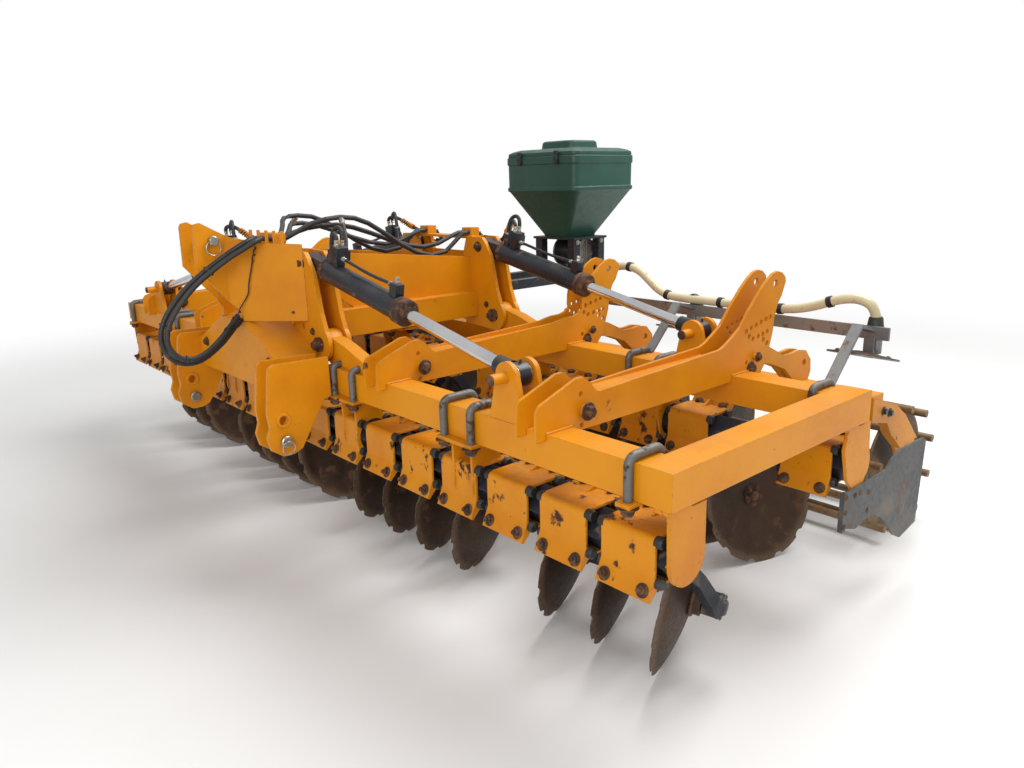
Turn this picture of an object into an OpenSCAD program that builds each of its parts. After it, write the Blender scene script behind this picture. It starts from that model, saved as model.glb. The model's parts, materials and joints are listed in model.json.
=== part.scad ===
// Folding compact disc harrow with seed box, working position, wings level.
// +X is the travel direction, +Y the machine's left, +Z up, ground at z = 0.

/* [Wing frame] */
// Distance from the centre plane to the outer face of the end bar
wing_half = 2210; // [2000:5:2400]
// Side of the square wing beams
beam_s = 108; // [90:2:130]
// Height of the beam bottoms above the ground
beam_z = 787; // [740:1:840]
// Length of a wing frame from front face to rear face
frame_len = 1115; // [1000:5:1250]
// Inner end of the wing beams from the centre plane
beam_in = 440; // [400:5:520]

/* [Fold linkage] */
// Fold hinge distance from the centre plane
hinge_y = 412; // [360:1:450]
// Fold hinge height
hinge_z = 978; // [930:1:1030]
// Hinge pin diameter
hinge_d = 50; // [30:1:60]
// Cylinder base pin distance from the centre plane
base_y = 308; // [280:1:360]
// Cylinder base pin height
base_z = 1307; // [1250:1:1350]
// Rod eye distance from the centre plane
eye_y = 1578; // [1500:1:1650]
// Rod eye height
eye_z = 1038; // [980:1:1080]
// Cylinder pin diameter
cyl_pin_d = 35; // [25:1:45]
// Cylinder barrel diameter
barrel_d = 90; // [70:1:110]
// Cylinder rod diameter
rod_d = 45; // [30:1:60]

/* [Disc rows] */
// Spacing of the discs along a row
pitch = 250; // [200:1:300]
// Outermost front holder from the centre plane
front_y = 2060; // [1950:1:2150]
// Outermost rear disc holder from the centre plane
rear_y = 1530; // [1450:1:1600]
// Discs in the front row of one wing
front_n = 8; // [6:1:8]
// Discs in the rear row of one wing
rear_n = 6; // [5:1:6]
// Disc diameter
disc_d = 560; // [460:5:620]
// Angle of the front discs to the travel direction
front_angle = 22; // [10:1:25]
// Angle of the rear discs to the travel direction
rear_angle = 18; // [10:1:25]
// Lean of the front discs
front_lean = 8; // [5:1:20]
// Lean of the rear discs
rear_lean = 12; // [5:1:20]
// Holder cap width
cap_w = 190; // [150:1:210]
// Square side of the holder clamp
cap_s = 152; // [130:1:170]
// Side of the square gang tube
gang_s = 96; // [80:1:110]
// Height of the gang tube axis
gang_z = 622; // [580:1:660]

/* [Roller] */
// Roller diameter over the bars
roller_d = 610; // [500:5:650]
// Roller axis behind the front bolt line
roller_back = 2000; // [1900:5:2100]
// Number of roller bars
roller_bars = 10; // [8:1:14]
// Roller inner end from the centre plane
roller_in = 130; // [80:5:300]
// Roller outer end from the centre plane
roller_out = 2020; // [1950:5:2150]

/* [Hitch] */
// Centre distance of each lower hitch clevis from the centre plane
lower_y = 482; // [400:1:520]
// Lower hitch pin height
lower_z = 648; // [600:1:760]
// Upper hole height of the lower hitch clevis
lower_up_z = 732; // [680:1:780]
// Lower hitch pin diameter
lower_d = 36; // [28:1:40]
// Top link pin height
top_z = 1407; // [1350:1:1460]
// Top link pin diameter
top_d = 31; // [25:1:36]

/* [Seed box] */
// Width of the seed box
hop_w = 576; // [500:2:640]
// Length of the seed box
hop_l = 514; // [440:2:600]
// Front face of the seed box behind the front bolt line
hop_back = 1650; // [1600:5:1700]
// Top of the seed box walls
hop_z = 1745; // [1700:1:1800]

/* [Hidden] */
$fa = 6;
$fs = 2;
row_x = 973;
front_face = row_x + 7;
rear_face = front_face - frame_len;
beam_fx = front_face - beam_s / 2;
row_gap = frame_len - 110;
rear_x = row_x - row_gap;
beam_rx = rear_face + beam_s / 2 + 43;
beam_top = beam_z + beam_s;
gang_fx = row_x - cap_s / 2;
gang_rx = rear_x - cap_s / 2;
disc_r = disc_d / 2;
front_back = 430;
rear_back = 335;
front_side = -140;
rear_side = 150;
no_disc = 4;
roller_x = row_x - roller_back;
cyl_fx = row_x - 46;
cyl_rx = rear_x + 10;
wall = 10;
ear_t = 20;
cyl_ang = atan2(eye_z - base_z, eye_y - base_y);
cyl_len = sqrt(pow(eye_z - base_z, 2) + pow(eye_y - base_y, 2));
barrel_len = 690;
barrel_start = 118;
bore_start = 132;
fold_len = norm([hinge_y + hinge_z - eye_z - base_y, hinge_z + eye_y - hinge_y - base_z]);
stroke = cyl_len - fold_len;
rod_start = bore_start + stroke + 8;
member_y = [857, 1707];
member_t = 12;
member_gap = 72;
end_plate_y = wing_half - 24;
frame_gap = 0.3;
pivot_x = rear_x - 103;
pivot_z = beam_top + 50;
pivot_d = 24;
spreader_y = [1220, 2040];
bar_x = rear_x - 445;
bar_z = 1000;
hose_d = 24;
line_d = 22;
seed_hose_d = 40;
bare_holder_y = 2042;
comb_start = 77;
comb_pitch = 33;
block_z = 1404;
lower_x = row_x + 260;
clevis_x = row_x + 46;
mast_x = row_x + 8.3;
mast_y = 318;
mast_turn = -48.2;
top_x = row_x + 280;
hop_x = row_x - hop_back - hop_l / 2;

paint = [0.93, 0.6, 0.08];
steel = [0.55, 0.53, 0.5];
dark = [0.16, 0.16, 0.17];
rust = [0.33, 0.2, 0.13];
green = [0.06, 0.2, 0.14];
ivory = [0.85, 0.82, 0.7];

module box(x1, x2, y1, y2, z1, z2) {
  translate([min(x1, x2), min(y1, y2), min(z1, z2)])
    cube([abs(x2 - x1), abs(y2 - y1), abs(z2 - z1)]);
}

// Plate standing in the YZ plane, drawn as (y, z), from x to x + t
module plate_yz(x, t) {
  translate([x, 0, 0]) rotate([90, 0, 90]) linear_extrude(t) children();
}

// Plate standing in the XZ plane, drawn as (x, z), from y to y + t
module plate_xz(y, t) {
  translate([0, y + t, 0]) rotate([90, 0, 0]) linear_extrude(t) children();
}

module rod_x(x, y, z, d, len) {
  translate([x, y, z]) rotate([0, 90, 0]) cylinder(d = d, h = len);
}

module rod_y(x, y, z, d, len) {
  translate([x, y, z]) rotate([-90, 0, 0]) cylinder(d = d, h = len);
}

// Square tube along Y
module tube_y(cx, y1, y2, cz, s, w, turn = 0) {
  translate([cx, y1, cz]) rotate([0, turn, 0]) difference() {
    translate([-s / 2, 0, -s / 2]) cube([s, y2 - y1, s]);
    translate([-s / 2 + w, -1, -s / 2 + w]) cube([s - 2 * w, y2 - y1 + 2, s - 2 * w]);
  }
}

// Wing beams and end bar
module beams() {
  tube_y(beam_fx, beam_in, wing_half - beam_s - 0.5, beam_z + beam_s / 2, beam_s, wall);
  tube_y(beam_rx, beam_in, wing_half - beam_s - 0.5, beam_z + beam_s / 2, beam_s, wall);
  difference() {
    box(rear_face, front_face, wing_half - beam_s, wing_half, beam_z, beam_top);
    box(rear_face + wall, front_face - wall, wing_half - beam_s + wall, wing_half - wall,
      beam_z + wall, beam_top - wall);
  }
}

// Fore and aft members of a wing with the hinge ears and the cylinder ears
front_part = [[49, -19], [45, 73], [32, 91], [-121, 146], [-150, 146], [-180, 125], [-206, 95],
  [-224, 87]];
rear_part = [[-88, 271], [-128, 307], [-168, 337], [-204, 357], [-236, 363], [-270, 355],
  [-296, 335], [-300, 317], [-275, 264], [-251, 238], [-231, 185], [-225, 129], [-203, 61],
  [-185, 14], [-168, -4], [-150, -24]];
saddle_outer = [[133, 112], [100, 123], [50, 149], [5, 176], [-22, 206], [-49, 236]];
// The inner saddle is lower, for the folded cylinder
saddle_inner = [[133, 112], [100, 119], [60, 124], [10, 125], [-25, 135], [-44, 163], [-46, 205],
  [-52, 236]];
function moved(pts, x, z) = [for (p = pts) [p[0] + x, p[1] + z]];
// Adjustment holes of the rear tower, as (x, z, d) from the rear row line and the beam top
tower_holes = [[-37, 155, 20], [-70, 164, 20], [-103, 171, 20], [-137, 178, 20], [-171, 185, 20],
  [-203, 190, 20], [-58, 133, 20], [-86, 120, 20], [-122, 125, 20], [-155, 129, 20],
  [-185, 135, 20], [-159, 107, 20], [-187, 89, 20], [-49, 34, 18], [-226, 316, 30]];
clevis_holes = [[-141, 93, 18], [-145, -5, 16]];
module member_side(saddle) {
  polygon(concat(moved(front_part, row_x, beam_top), moved(saddle, rear_x, beam_top),
    moved(rear_part, rear_x, beam_top)));
}
module hinge_ear(cx) {
  plate_yz(cx - 30, 60) difference() {
    union() {
      translate([hinge_y, hinge_z]) circle(d = 120);
      polygon([[hinge_y - 20, hinge_z + 48], [hinge_y - 20, hinge_z - 48],
        [beam_in + 10, beam_top + 0.3], [beam_in + 330, beam_top + 0.3],
        [beam_in + 300, beam_top + 34], [beam_in + 120, hinge_z + 10]]);
    }
    translate([hinge_y, hinge_z]) circle(d = hinge_d + 0.6);
  }
}
module eye_ears(cx) {
  for (x = [cx - 52, cx + 34]) {
    plate_yz(x, 18) difference() {
      union() {
        translate([eye_y, eye_z]) circle(d = 96);
        polygon([[eye_y - 80, beam_top + 0.3], [eye_y - 48, eye_z + 4],
          [eye_y + 48, eye_z + 4], [eye_y + 84, beam_top + 0.3]]);
      }
      translate([eye_y, eye_z]) circle(d = cyl_pin_d + 0.6);
    }
    rod_x(x < cx ? x - 14 : x, eye_y, eye_z, cyl_pin_d + 1, x < cx ? 32 : 78);
  }
}
module member_holes(y) {
  for (h = tower_holes) {
    rod_y(rear_x + h[0], y - 60, beam_top + h[1], h[2], 120);
  }
  for (h = clevis_holes) {
    rod_y(row_x + h[0], y - 60, beam_top + h[1], h[2], 120);
  }
  rod_y(pivot_x, y - 60, pivot_z, pivot_d + 0.6, 120);
}
module member(y, saddle) {
  x1 = rear_x + 133;
  x2 = row_x - 206;
  difference() {
    union() {
      for (d = [-member_gap / 2 - member_t, member_gap / 2]) {
        plate_xz(y + d, member_t) member_side(saddle);
      }
      box(x1, x2, y - member_gap / 2 - 1, y + member_gap / 2 + 1, beam_top - 14, beam_top + 84);
    }
    for (x = [beam_fx, beam_rx]) {
      box(x - beam_s / 2 - frame_gap, x + beam_s / 2 + frame_gap, y - 100, y + 100, beam_z - 1,
        beam_top + frame_gap);
    }
    member_holes(y);
  }
  rod_y(row_x - 158, y - 62, beam_top + 39, 40, 124);
}
module members() {
  member(member_y[0], saddle_inner);
  member(member_y[1], saddle_outer);
  for (x = [cyl_fx, cyl_rx]) {
    hinge_ear(x);
    eye_ears(x);
  }
}

// Clamp, rubber rods and arm of one disc on a gang tube
hub_back = 92;
housing_len = 58;
function disc_angle(side) = side < 0 ? front_angle : rear_angle;
function disc_lean(side) = side < 0 ? front_lean : rear_lean;
function disc_z(side) = disc_r * cos(disc_lean(side));
module on_disc_axis(x, y, side) {
  translate([x, y, disc_z(side)]) rotate([0, 0, side * (90 - disc_angle(side))])
    rotate([0, 90 - disc_lean(side), 0]) children();
}
module clamp_outline(h, r) {
  polygon([[-h + r, -h], [h, -h], [h, h - r], [h - r, h], [-h, h], [-h, -h + r]]);
  translate([h - r, h - r]) circle(r);
  translate([r - h, r - h]) circle(r);
}
module clamp(gx, y) {
  h = cap_s / 2;
  t = 9;
  bend = 24;
  translate([gx, 0, gang_z]) plate_xz(y - cap_w / 2, cap_w) difference() {
    union() {
      clamp_outline(h, bend);
      polygon([[h - 20, -h + 2], [h, -h + 34], [h + 26, -h - 28], [h + 16, -h - 34]]);
      polygon([[-h + 2, h - 20], [-h - 30, h + 20], [-h - 36, h + 12], [-h, h - 40]]);
    }
    clamp_outline(h - t, bend - t);
  }
}
module rubber_rods(gx, y) {
  for (a = [0, 90, 180, 270]) {
    rod_y(gx + cos(a + 45) * 84, y - cap_w / 2 + 5, gang_z + sin(a + 45) * 84, 34, cap_w - 10);
  }
}
// Outline of the arm as (x, z, share of the way from the clamp to the hub)
arm_points = [[-76, -30, 0], [-106, -40, 0], [-166, -110, 0.25], [-226, -200, 0.5],
  [-272, -300, 0.8], [-288, -360, 1], [-284, -388, 1], [-246, -386, 1], [-226, -330, 0.9],
  [-186, -230, 0.6], [-126, -150, 0.3], [-56, -92, 0]];
module arm(gx, y, dx, dy, side) {
  h = cap_s / 2;
  mid = hub_back + housing_len / 2;
  hub_x = dx - gx - mid * sin(disc_angle(side)) * cos(disc_lean(side)) + 297;
  hub_z = disc_z(side) - mid * sin(disc_lean(side)) - gang_z + 373;
  difference() {
    union() {
      translate([gx, 0, gang_z]) plate_xz(y - 20, 40) polygon(concat([[-30, -h + 4]],
        [for (a = arm_points) [a[0] + a[2] * hub_x, a[1] + a[2] * hub_z]]));
      on_disc_axis(dx, dy, side) translate([0, 0, -hub_back - housing_len])
        cylinder(d = 84, h = housing_len);
    }
    on_disc_axis(dx, dy, side) translate([0, 0, -hub_back - housing_len + 12])
      cylinder(d = 42, h = housing_len + 30);
  }
}
module holder_cap(gx, y) {
  clamp(gx, y);
  rubber_rods(gx, y);
}
module holder(gx, y, back, side_y, side) {
  holder_cap(gx, y);
  arm(gx, y, gx + cap_s / 2 - back, y + side_y, side);
}
module gang(gx, bx, ys) {
  tube_y(gx, ys[0], end_plate_y + 1, gang_z, gang_s, 8, 45);
  for (y = [600, 1342]) {
    hanger(gx, bx, y);
  }
  box(bx - beam_s / 2 + 4, bx + beam_s / 2 - 4, end_plate_y - 36, end_plate_y + 12,
    beam_z - 14, beam_z - 0.5);
}
// Plate that closes the gang at its outer end, as (x, z) from the gang axis
module end_plate(gx, shape) {
  plate_xz(end_plate_y, 12) translate([gx, gang_z]) {
    polygon(shape);
    translate([-12, 0]) circle(78);
  }
}
module hanger(gx, bx, y) {
  top = beam_z - 13;
  for (s = [-50, 50]) {
    plate_xz(y + s - 5, 10) difference() {
      union() {
        translate([gx, gang_z]) circle(d = 170);
        polygon([[gx - 80, gang_z - 28], [bx - beam_s / 2, top], [bx + beam_s / 2, top],
          [gx + 80, gang_z - 28]]);
      }
      translate([gx, gang_z]) rotate(45) square(gang_s + 0.6, center = true);
    }
  }
  box(bx - beam_s / 2 - 40, bx + beam_s / 2 + 30, y - 90, y + 90, beam_z - 14, beam_z - 0.5);
}
module front_gang() {
  gang(gang_fx, beam_fx, [front_y - (front_n - 1) * pitch - cap_w / 2 - 2]);
  end_plate(gang_fx, [[72, 152], [-88, 152], [-90, 0], [66, 0]]);
  for (i = [0 : front_n - 1]) {
    if (i + 1 == no_disc) {
      holder_cap(gang_fx, front_y - i * pitch);
    } else {
      holder(gang_fx, front_y - i * pitch, front_back, front_side, -1);
    }
  }
}
module rear_gang() {
  gang(gang_rx, beam_rx, [rear_y - (rear_n - 1) * pitch - cap_w / 2 - 2]);
  end_plate(gang_rx, [[94, 152], [-67, 152], [-88, -27], [-50, -79], [-50, -150], [35, -150],
    [35, -75], [74, -39], [113, 83]]);
  for (i = [0 : rear_n - 1]) {
    holder(gang_rx, rear_y - i * pitch, rear_back, rear_side, 1);
  }
  holder_cap(gang_rx, bare_holder_y);
}

// One notched disc with its hub, axis through its own centre
module disc_body() {
  depth = 55;
  rs = (disc_r * disc_r + depth * depth) / (2 * depth);
  difference() {
    rotate_extrude($fn = 72) difference() {
      intersection() {
        translate([0, rs - depth]) circle(r = rs, $fn = 160);
        translate([0, -depth - 1]) square([disc_r, depth + 1]);
      }
      translate([0, rs - depth + 6]) circle(r = rs, $fn = 160);
    }
    for (i = [0 : 11]) {
      rotate(i * 30 + 15) translate([disc_r + 14, 0, -80]) cylinder(d = 56, h = 120, $fn = 24);
    }
  }
  translate([0, 0, -hub_back + 3]) cylinder(d = 104, h = hub_back - 3 - depth + 8);
  translate([0, 0, -hub_back - housing_len + 16]) cylinder(d = 40, h = housing_len);
  translate([0, 0, -depth + 4]) cylinder(d = 96, h = 10);
}
// The concave side looks forward and to one side, and up by the lean
module front_disc(i) {
  on_disc_axis(row_x - front_back, front_y - (i - 1) * pitch + front_side, -1) disc_body();
}
module rear_disc(i) {
  on_disc_axis(rear_x - rear_back, rear_y - (i - 1) * pitch + rear_side, 1) disc_body();
}

// Roller with its frame
module roller() {
  r = roller_d / 2;
  inset = 60;
  rod_y(roller_x, roller_in - 24, r, 50, roller_out - roller_in + 48);
  rod_y(roller_x, roller_in + inset, r, 120, roller_out - roller_in - 2 * inset);
  for (f = [0, 0.25, 0.5, 0.75, 1]) {
    rod_y(roller_x, roller_in + inset + f * (roller_out - roller_in - 2 * inset - 10), r,
      roller_d - 50, 10);
  }
  for (i = [0 : roller_bars - 1]) {
    a = i * 360 / roller_bars - 90;
    rod_y(roller_x + cos(a) * (r - 18), roller_in, r + sin(a) * (r - 18), 36,
      roller_out - roller_in);
  }
}
// Arm plate between the tower plates, as (x, z) from the roller axis line and the beam top
roller_arm = [[922, 77], [877, 80], [752, 61], [633, 7], [580, 5], [519, 11], [458, 1], [413, -45],
  [407, -95], [427, -135], [527, -135], [572, -95], [627, -50], [737, -10], [862, 13], [917, 20]];
roller_side = [[527, -135], [527, -232], [383, -266], [330, -330], [214, -417], [52, -405],
  [200, -270], [302, -205], [420, -167]];
module roller_end(y) {
  r = roller_d / 2;
  side = moved(roller_side, roller_x, beam_top);
  plate_xz(y, 12) difference() {
    union() {
      polygon(side);
      polygon([[roller_x + 42, 495], [roller_x + 217, 480], [roller_x + 165, 390],
        [roller_x + 60, r - 45], [roller_x - 60, r - 25], [roller_x - 66, r + 40],
        [roller_x - 30, r + 120]]);
      translate([roller_x, r]) circle(d = 130);
    }
    translate([roller_x, r]) circle(d = 50.8);
  }
}
module roller_frame() {
  z1 = beam_top - 230;
  z2 = beam_top - 130;
  x1 = roller_x + 427;
  x2 = roller_x + 527;
  box(x1, x2, roller_in - 20, roller_out + 40, z1, z2);
  roller_end(roller_in - 20);
  roller_end(roller_out + 8);
  plate_xz(roller_out + 19, 28) polygon(moved(roller_side, roller_x, beam_top));
  for (y = member_y) {
    for (d = [-30, 14]) {
      plate_xz(y + d, 16) difference() {
        polygon(moved(roller_arm, roller_x, beam_top));
        translate([roller_x + 467, beam_top - 50]) circle(d = 30);
      }
    }
    rod_y(pivot_x, y - 62, pivot_z, pivot_d, 124);
  }
}

// Cylinders, front and rear alike
module barrel(cx) {
  translate([cx, base_y, base_z]) rotate([cyl_ang, 0, 0]) {
    difference() {
      union() {
        rotate([0, 90, 0]) cylinder(d = 80, h = 60, center = true);
        translate([-30, 0, -36]) cube([60, barrel_start + 6, 72]);
        translate([0, barrel_start, 0]) rotate([-90, 0, 0])
          cylinder(d = barrel_d, h = barrel_len - barrel_start);
        translate([0, barrel_len - 40, 0]) rotate([-90, 0, 0]) cylinder(d = barrel_d + 8, h = 40);
      }
      rotate([0, 90, 0]) cylinder(d = cyl_pin_d + 0.6, h = 120, center = true);
      translate([0, bore_start, 0]) rotate([-90, 0, 0]) cylinder(d = rod_d + 0.8, h = barrel_len);
    }
  }
}
module rod(cx) {
  translate([cx, base_y, base_z]) rotate([cyl_ang, 0, 0]) {
    translate([0, rod_start, 0]) rotate([-90, 0, 0])
      cylinder(d = rod_d, h = cyl_len - 30 - rod_start);
    translate([0, cyl_len, 0]) rotate([0, 90, 0]) cylinder(d = 76, h = 52, center = true);
  }
}

module barrels() {
  barrel(cyl_fx);
  barrel(cyl_rx);
}
module rods() {
  rod(cyl_fx);
  rod(cyl_rx);
}

// Side plate that keeps the soil inside the roller's width
module deflector() {
  y = end_plate_y + 12 + frame_gap;
  plate_xz(y, 8) translate([rear_x, 0]) polygon([[-2, 410], [19, 549], [-186, 548], [-299, 550],
    [-339, 578], [-387, 599], [-628, 596], [-658, 579], [-637, 234], [-494, 211], [-429, 243],
    [-326, 341], [-266, 379], [-198, 400], [-80, 384]]);
  box(rear_x - 3, rear_x + 22, y - 10, y + 8, 400, 545);
}

// Seed bar with its struts, spreader plates and hose sockets
module strut() {
  x = beam_rx - beam_s / 2 - frame_gap;
  plate_xz(-20, 40) polygon([[x, beam_top - 18], [rear_x - 144, beam_top - 18],
    [rear_x - 329, beam_top + 165], [bar_x + 4, bar_z + 28], [bar_x + 4, bar_z + 40],
    [rear_x - 325, beam_top + 180], [rear_x - 139, beam_top - 6], [x, beam_top - 6]]);
}
module spreader() {
  translate([bar_x + 55, 0, 940]) rotate([0, -14, 0]) difference() {
    cylinder(d = 260, h = 4);
    translate([-200, -150, -1]) cube([110, 300, 6]);
  }
  box(bar_x + 2, bar_x + 12, -20, 20, 928, bar_z + 10);
  translate([bar_x - 33, 0, 940]) cylinder(d = 60, h = 90);
  box(bar_x - 40, bar_x, -25, 25, 960, bar_z - 4);
}
module seed_bar() {
  box(bar_x - 5, bar_x + 5, 470, 2110, bar_z, bar_z + 50);
  box(bar_x - 24, bar_x + 24, 470, 500, bar_z + 49, bar_z + 114);
  for (y = spreader_y) {
    translate([0, y, 0]) {
      strut();
      spreader();
    }
  }
}

// Hose as a tube swept along its points, with twelve sides
side_ref = [0.7, 0.5, -0.2];
function unit(v) = v / norm(v);
function along(p, i) = unit(p[min(i + 1, len(p) - 1)] - p[max(i - 1, 0)]);
function ring(c, t, r) = let (n = unit(cross(t, side_ref)), b = cross(t, n))
  [for (k = [0 : 11]) c + r * (cos(k * 30) * n + sin(k * 30) * b)];
module hose(pts, d) {
  n = len(pts);
  rings = [for (i = [0 : n - 1]) ring(pts[i], along(pts, i), d / 2)];
  walls = [for (i = [0 : n - 2], k = [0 : 11])
    [i * 12 + k, i * 12 + (k + 1) % 12, (i + 1) * 12 + (k + 1) % 12, (i + 1) * 12 + k]];
  caps = [[for (k = [11 : -1 : 0]) k], [for (k = [0 : 11]) (n - 1) * 12 + k]];
  polyhedron(points = [for (r = rings, p = r) p], faces = concat(walls, caps), convexity = 6);
}
// Routes as (x, y, z): loops from the comb on the left mast plate to the tie, then the lines
loop_1 = [[1110, 175, 1411], [1132, 195, 1411], [1165, 203, 1400], [1200, 186, 1378],
  [1240, 155, 1347], [1302, 116, 1296], [1370, 101, 1243], [1423, 98, 1193], [1468, 98, 1140],
  [1495, 98, 1093], [1508, 98, 1050], [1506, 98, 1008], [1490, 98, 966], [1460, 98, 936],
  [1418, 98, 921], [1369, 98, 924], [1318, 98, 948], [1269, 98, 982], [1234, 98, 1014],
  [1200, 98, 1049]];
loop_2 = [[1088, 199, 1410], [1110, 219, 1410], [1145, 229, 1397], [1188, 213, 1371],
  [1235, 182, 1338], [1298, 144, 1287], [1363, 129, 1234], [1416, 127, 1182], [1460, 127, 1128],
  [1486, 127, 1078], [1495, 127, 1034], [1488, 127, 998], [1466, 127, 966], [1430, 127, 947],
  [1386, 127, 946], [1340, 127, 965], [1296, 127, 997], [1256, 127, 1034], [1222, 127, 1070]];
feed_1 = [[1109.7, 174.7, 1411], [1088, 155, 1411], [1064, 136, 1408], [1044, 126, block_z],
  [1023.4, 126, block_z]];
feed_2 = [[1087.7, 198.7, 1410], [1068, 181, 1410], [1052, 168, 1407], [1038, 162, block_z],
  [1023.4, 162, block_z]];
left_line_1 = [[977.6, 140, block_z], [952, 140, block_z], [900, 152, 1430], [850, 178, 1458],
  [790, 196, 1474], [720, 200, 1480], [650, 200, 1472], [580, 200, 1446], [500, 200, 1398],
  [418, 200, 1345], [328, 200, 1298], [241, 200, 1275], [149, 200, 1288], [82, 200, 1338],
  [40, 200, 1370], [2.2, 200, 1372]];
left_line_2 = [[977.6, 105, block_z], [952, 105, block_z], [900, 113, 1422], [850, 134, 1438],
  [790, 154, 1446], [720, 164, 1446], [640, 166, 1430], [550, 166, 1400], [450, 166, 1362],
  [350, 166, 1330], [260, 166, 1316], [170, 166, 1326], [90, 166, 1356], [40, 166, 1371],
  [2.2, 166, 1372]];
right_start_1 = [[977.6, 35, block_z], [952, 35, block_z], [915, 14, 1422], [880, -40, 1446],
  [850, -100, 1462], [815, -155, 1473], [770, -190, 1479]];
right_start_2 = [[977.6, 70, block_z], [952, 70, block_z], [905, 50, 1413], [870, 4, 1424],
  [840, -55, 1432], [805, -115, 1442], [760, -154, 1446]];
function other_side(pts, first) = [for (i = [first : len(pts) - 1]) [pts[i][0], -pts[i][1], pts[i][2]]];
line_table = [feed_1, feed_2, left_line_1, left_line_2,
  concat(right_start_1, other_side(left_line_1, 5)),
  concat(right_start_2, other_side(left_line_2, 5))];
seed_route = [[0, 500.3, 82], [0, 530, 82], [0, 575, 104], [0, 635, 146], [0, 700, 176], [0, 775, 195],
  [0, 850, 198], [0, 915, 178], [0, 970, 140], [0, 1020, 105], [0, 1080, 82], [0, 1170, 74],
  [0, 1270, 74], [0, 1370, 74], [0, 1470, 74], [0, 1570, 74], [0, 1660, 76], [0, 1740, 86],
  [0, 1810, 104], [0, 1870, 126], [0, 1925, 142], [-2, 1980, 146], [-10, 2022, 130],
  [-24, 2038, 98], [-33, 2040, 66], [-33, 2040, 30.3]];

// Chassis
tower_edge = [[60, 30], [45, 72], [22, 132], [5, 212], [-14, 292]];
module tower_half() {
  difference() {
    union() {
      translate([hinge_y, hinge_z]) circle(d = 152);
      polygon(concat([for (p = tower_edge) [hinge_y + p[0], hinge_z + p[1]]],
        [[base_y + 52, base_z + 22], [base_y + 30, base_z + 46], [base_y - 90, base_z + 48],
        [190, base_z - 30], [190, beam_z + 130], [hinge_y - 20, hinge_z - 72]]));
    }
    translate([hinge_y, hinge_z]) circle(d = hinge_d + 0.6);
    translate([base_y, base_z]) circle(d = cyl_pin_d + 0.6);
  }
}
module tower_pair(cx) {
  for (s = [-1, 1]) {
    for (x = [cx - 34 - ear_t, cx + 34]) {
      plate_yz(x, ear_t) scale([s, 1]) tower_half();
    }
  }
}
module front_tower_frame() {
  bx = cyl_fx + 54.3;
  tower_pair(cyl_fx);
  difference() {
    plate_yz(bx, row_x + 200 - bx) polygon([[-470, 830], [-470, 915], [-360, 950], [-130, 1064],
      [130, 1064], [360, 950], [470, 915], [470, 830], [400, 795], [-400, 795]]);
    plate_yz(bx + 10, row_x + 180 - bx) polygon([[-460, 840], [-460, 908], [-356, 940], [-130, 1052],
      [130, 1052], [356, 940], [460, 908], [460, 840], [400, 805], [-400, 805]]);
    for (s = [-1, 1]) {
      box(clevis_x - frame_gap, row_x + 201, s * (lower_y - 60 - frame_gap),
        s * (lower_y - 42 + frame_gap), 780, 970);
      clevis_tube(s, 60 + 4 * frame_gap);
    }
  }
}
module clevis_tube(side, d) {
  rod_y(row_x + 155, side * lower_y - 43, 880, d, 86);
}
module clevises() {
  for (s = [-1, 1]) {
    for (y = [lower_y - 60, lower_y + 42]) {
      plate_xz(s > 0 ? y : -y - 18, 18) difference() {
        polygon([[clevis_x, 951], [row_x + 280, 957], [row_x + 300, 945], [row_x + 304, 925],
          [row_x + 322, 766], [row_x + 316, 710], [row_x + 330, 670], [row_x + 318, 618],
          [row_x + 272, 586], [row_x + 225, 586], [row_x + 189, 602], [row_x + 80, 781],
          [clevis_x, 792]]);
        translate([lower_x, lower_z]) circle(d = lower_d + 0.6);
        translate([lower_x, lower_up_z]) circle(d = lower_d + 0.6);
      }
    }
    clevis_tube(s, 60);
  }
}
module rear_tower_frame() {
  tower_pair(cyl_rx);
  box(cyl_rx - 40, cyl_rx + 40, -200, 200, 930, 1060);
  box(cyl_rx - 50, cyl_rx - 40, -200, 200, 1050, 1270);
  box(cyl_rx - 35, cyl_rx + 35, -230, 230, base_z + 34, base_z + 46);
  for (s = [-1, 1]) {
    box(cyl_rx - 30, cyl_rx + 23.7, s * 146, s * 218, base_z + 45, base_z + 87);
  }
  chassis_sides();
}
module chassis_sides() {
  x1 = cyl_rx + 54;
  x2 = cyl_fx - 54.3;
  for (s = [-1, 1]) {
    difference() {
      box(x1, x2, s * 200, s * 300, 965, 1085);
      box(x1 - 1, x2 + 1, s * 210, s * 290, 975, 1075);
    }
    plate_xz(s > 0 ? 235 : -247, 12) polygon([[x1, 1084], [x1, 1255], [x1 + 60, 1262],
      [x2, 1340], [x2, 1200], [x2 - 160, 1084]]);
  }
}
module mast_side() {
  polygon([[row_x + 8.3, 1066], [row_x + 196, 1066], [row_x + 196, 1106], [row_x + 356, 1300],
    [row_x + 353, 1463], [row_x + 344, 1476], [row_x + 321, 1481], [row_x + 170, 1396],
    [row_x + 8.3, 1385]]);
}
module mast() {
  for (s = [-1, 1]) {
    difference() {
      intersection() {
        plate_xz(-400, 800) mast_side();
        linear_extrude(1600) polygon([[row_x + 400, s * 62], [row_x + 400, s * 78],
          [row_x + 230, s * 78], [row_x + 8.3, s * 330], [row_x + 8.3, s * 306],
          [row_x + 222, s * 62]]);
      }
      for (z = [top_z, top_z - 61, top_z - 107]) {
        rod_y(top_x, -400, z, z == top_z ? top_d + 0.6 : 28, 800);
      }
    }
  }
  hose_comb();
}
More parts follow.
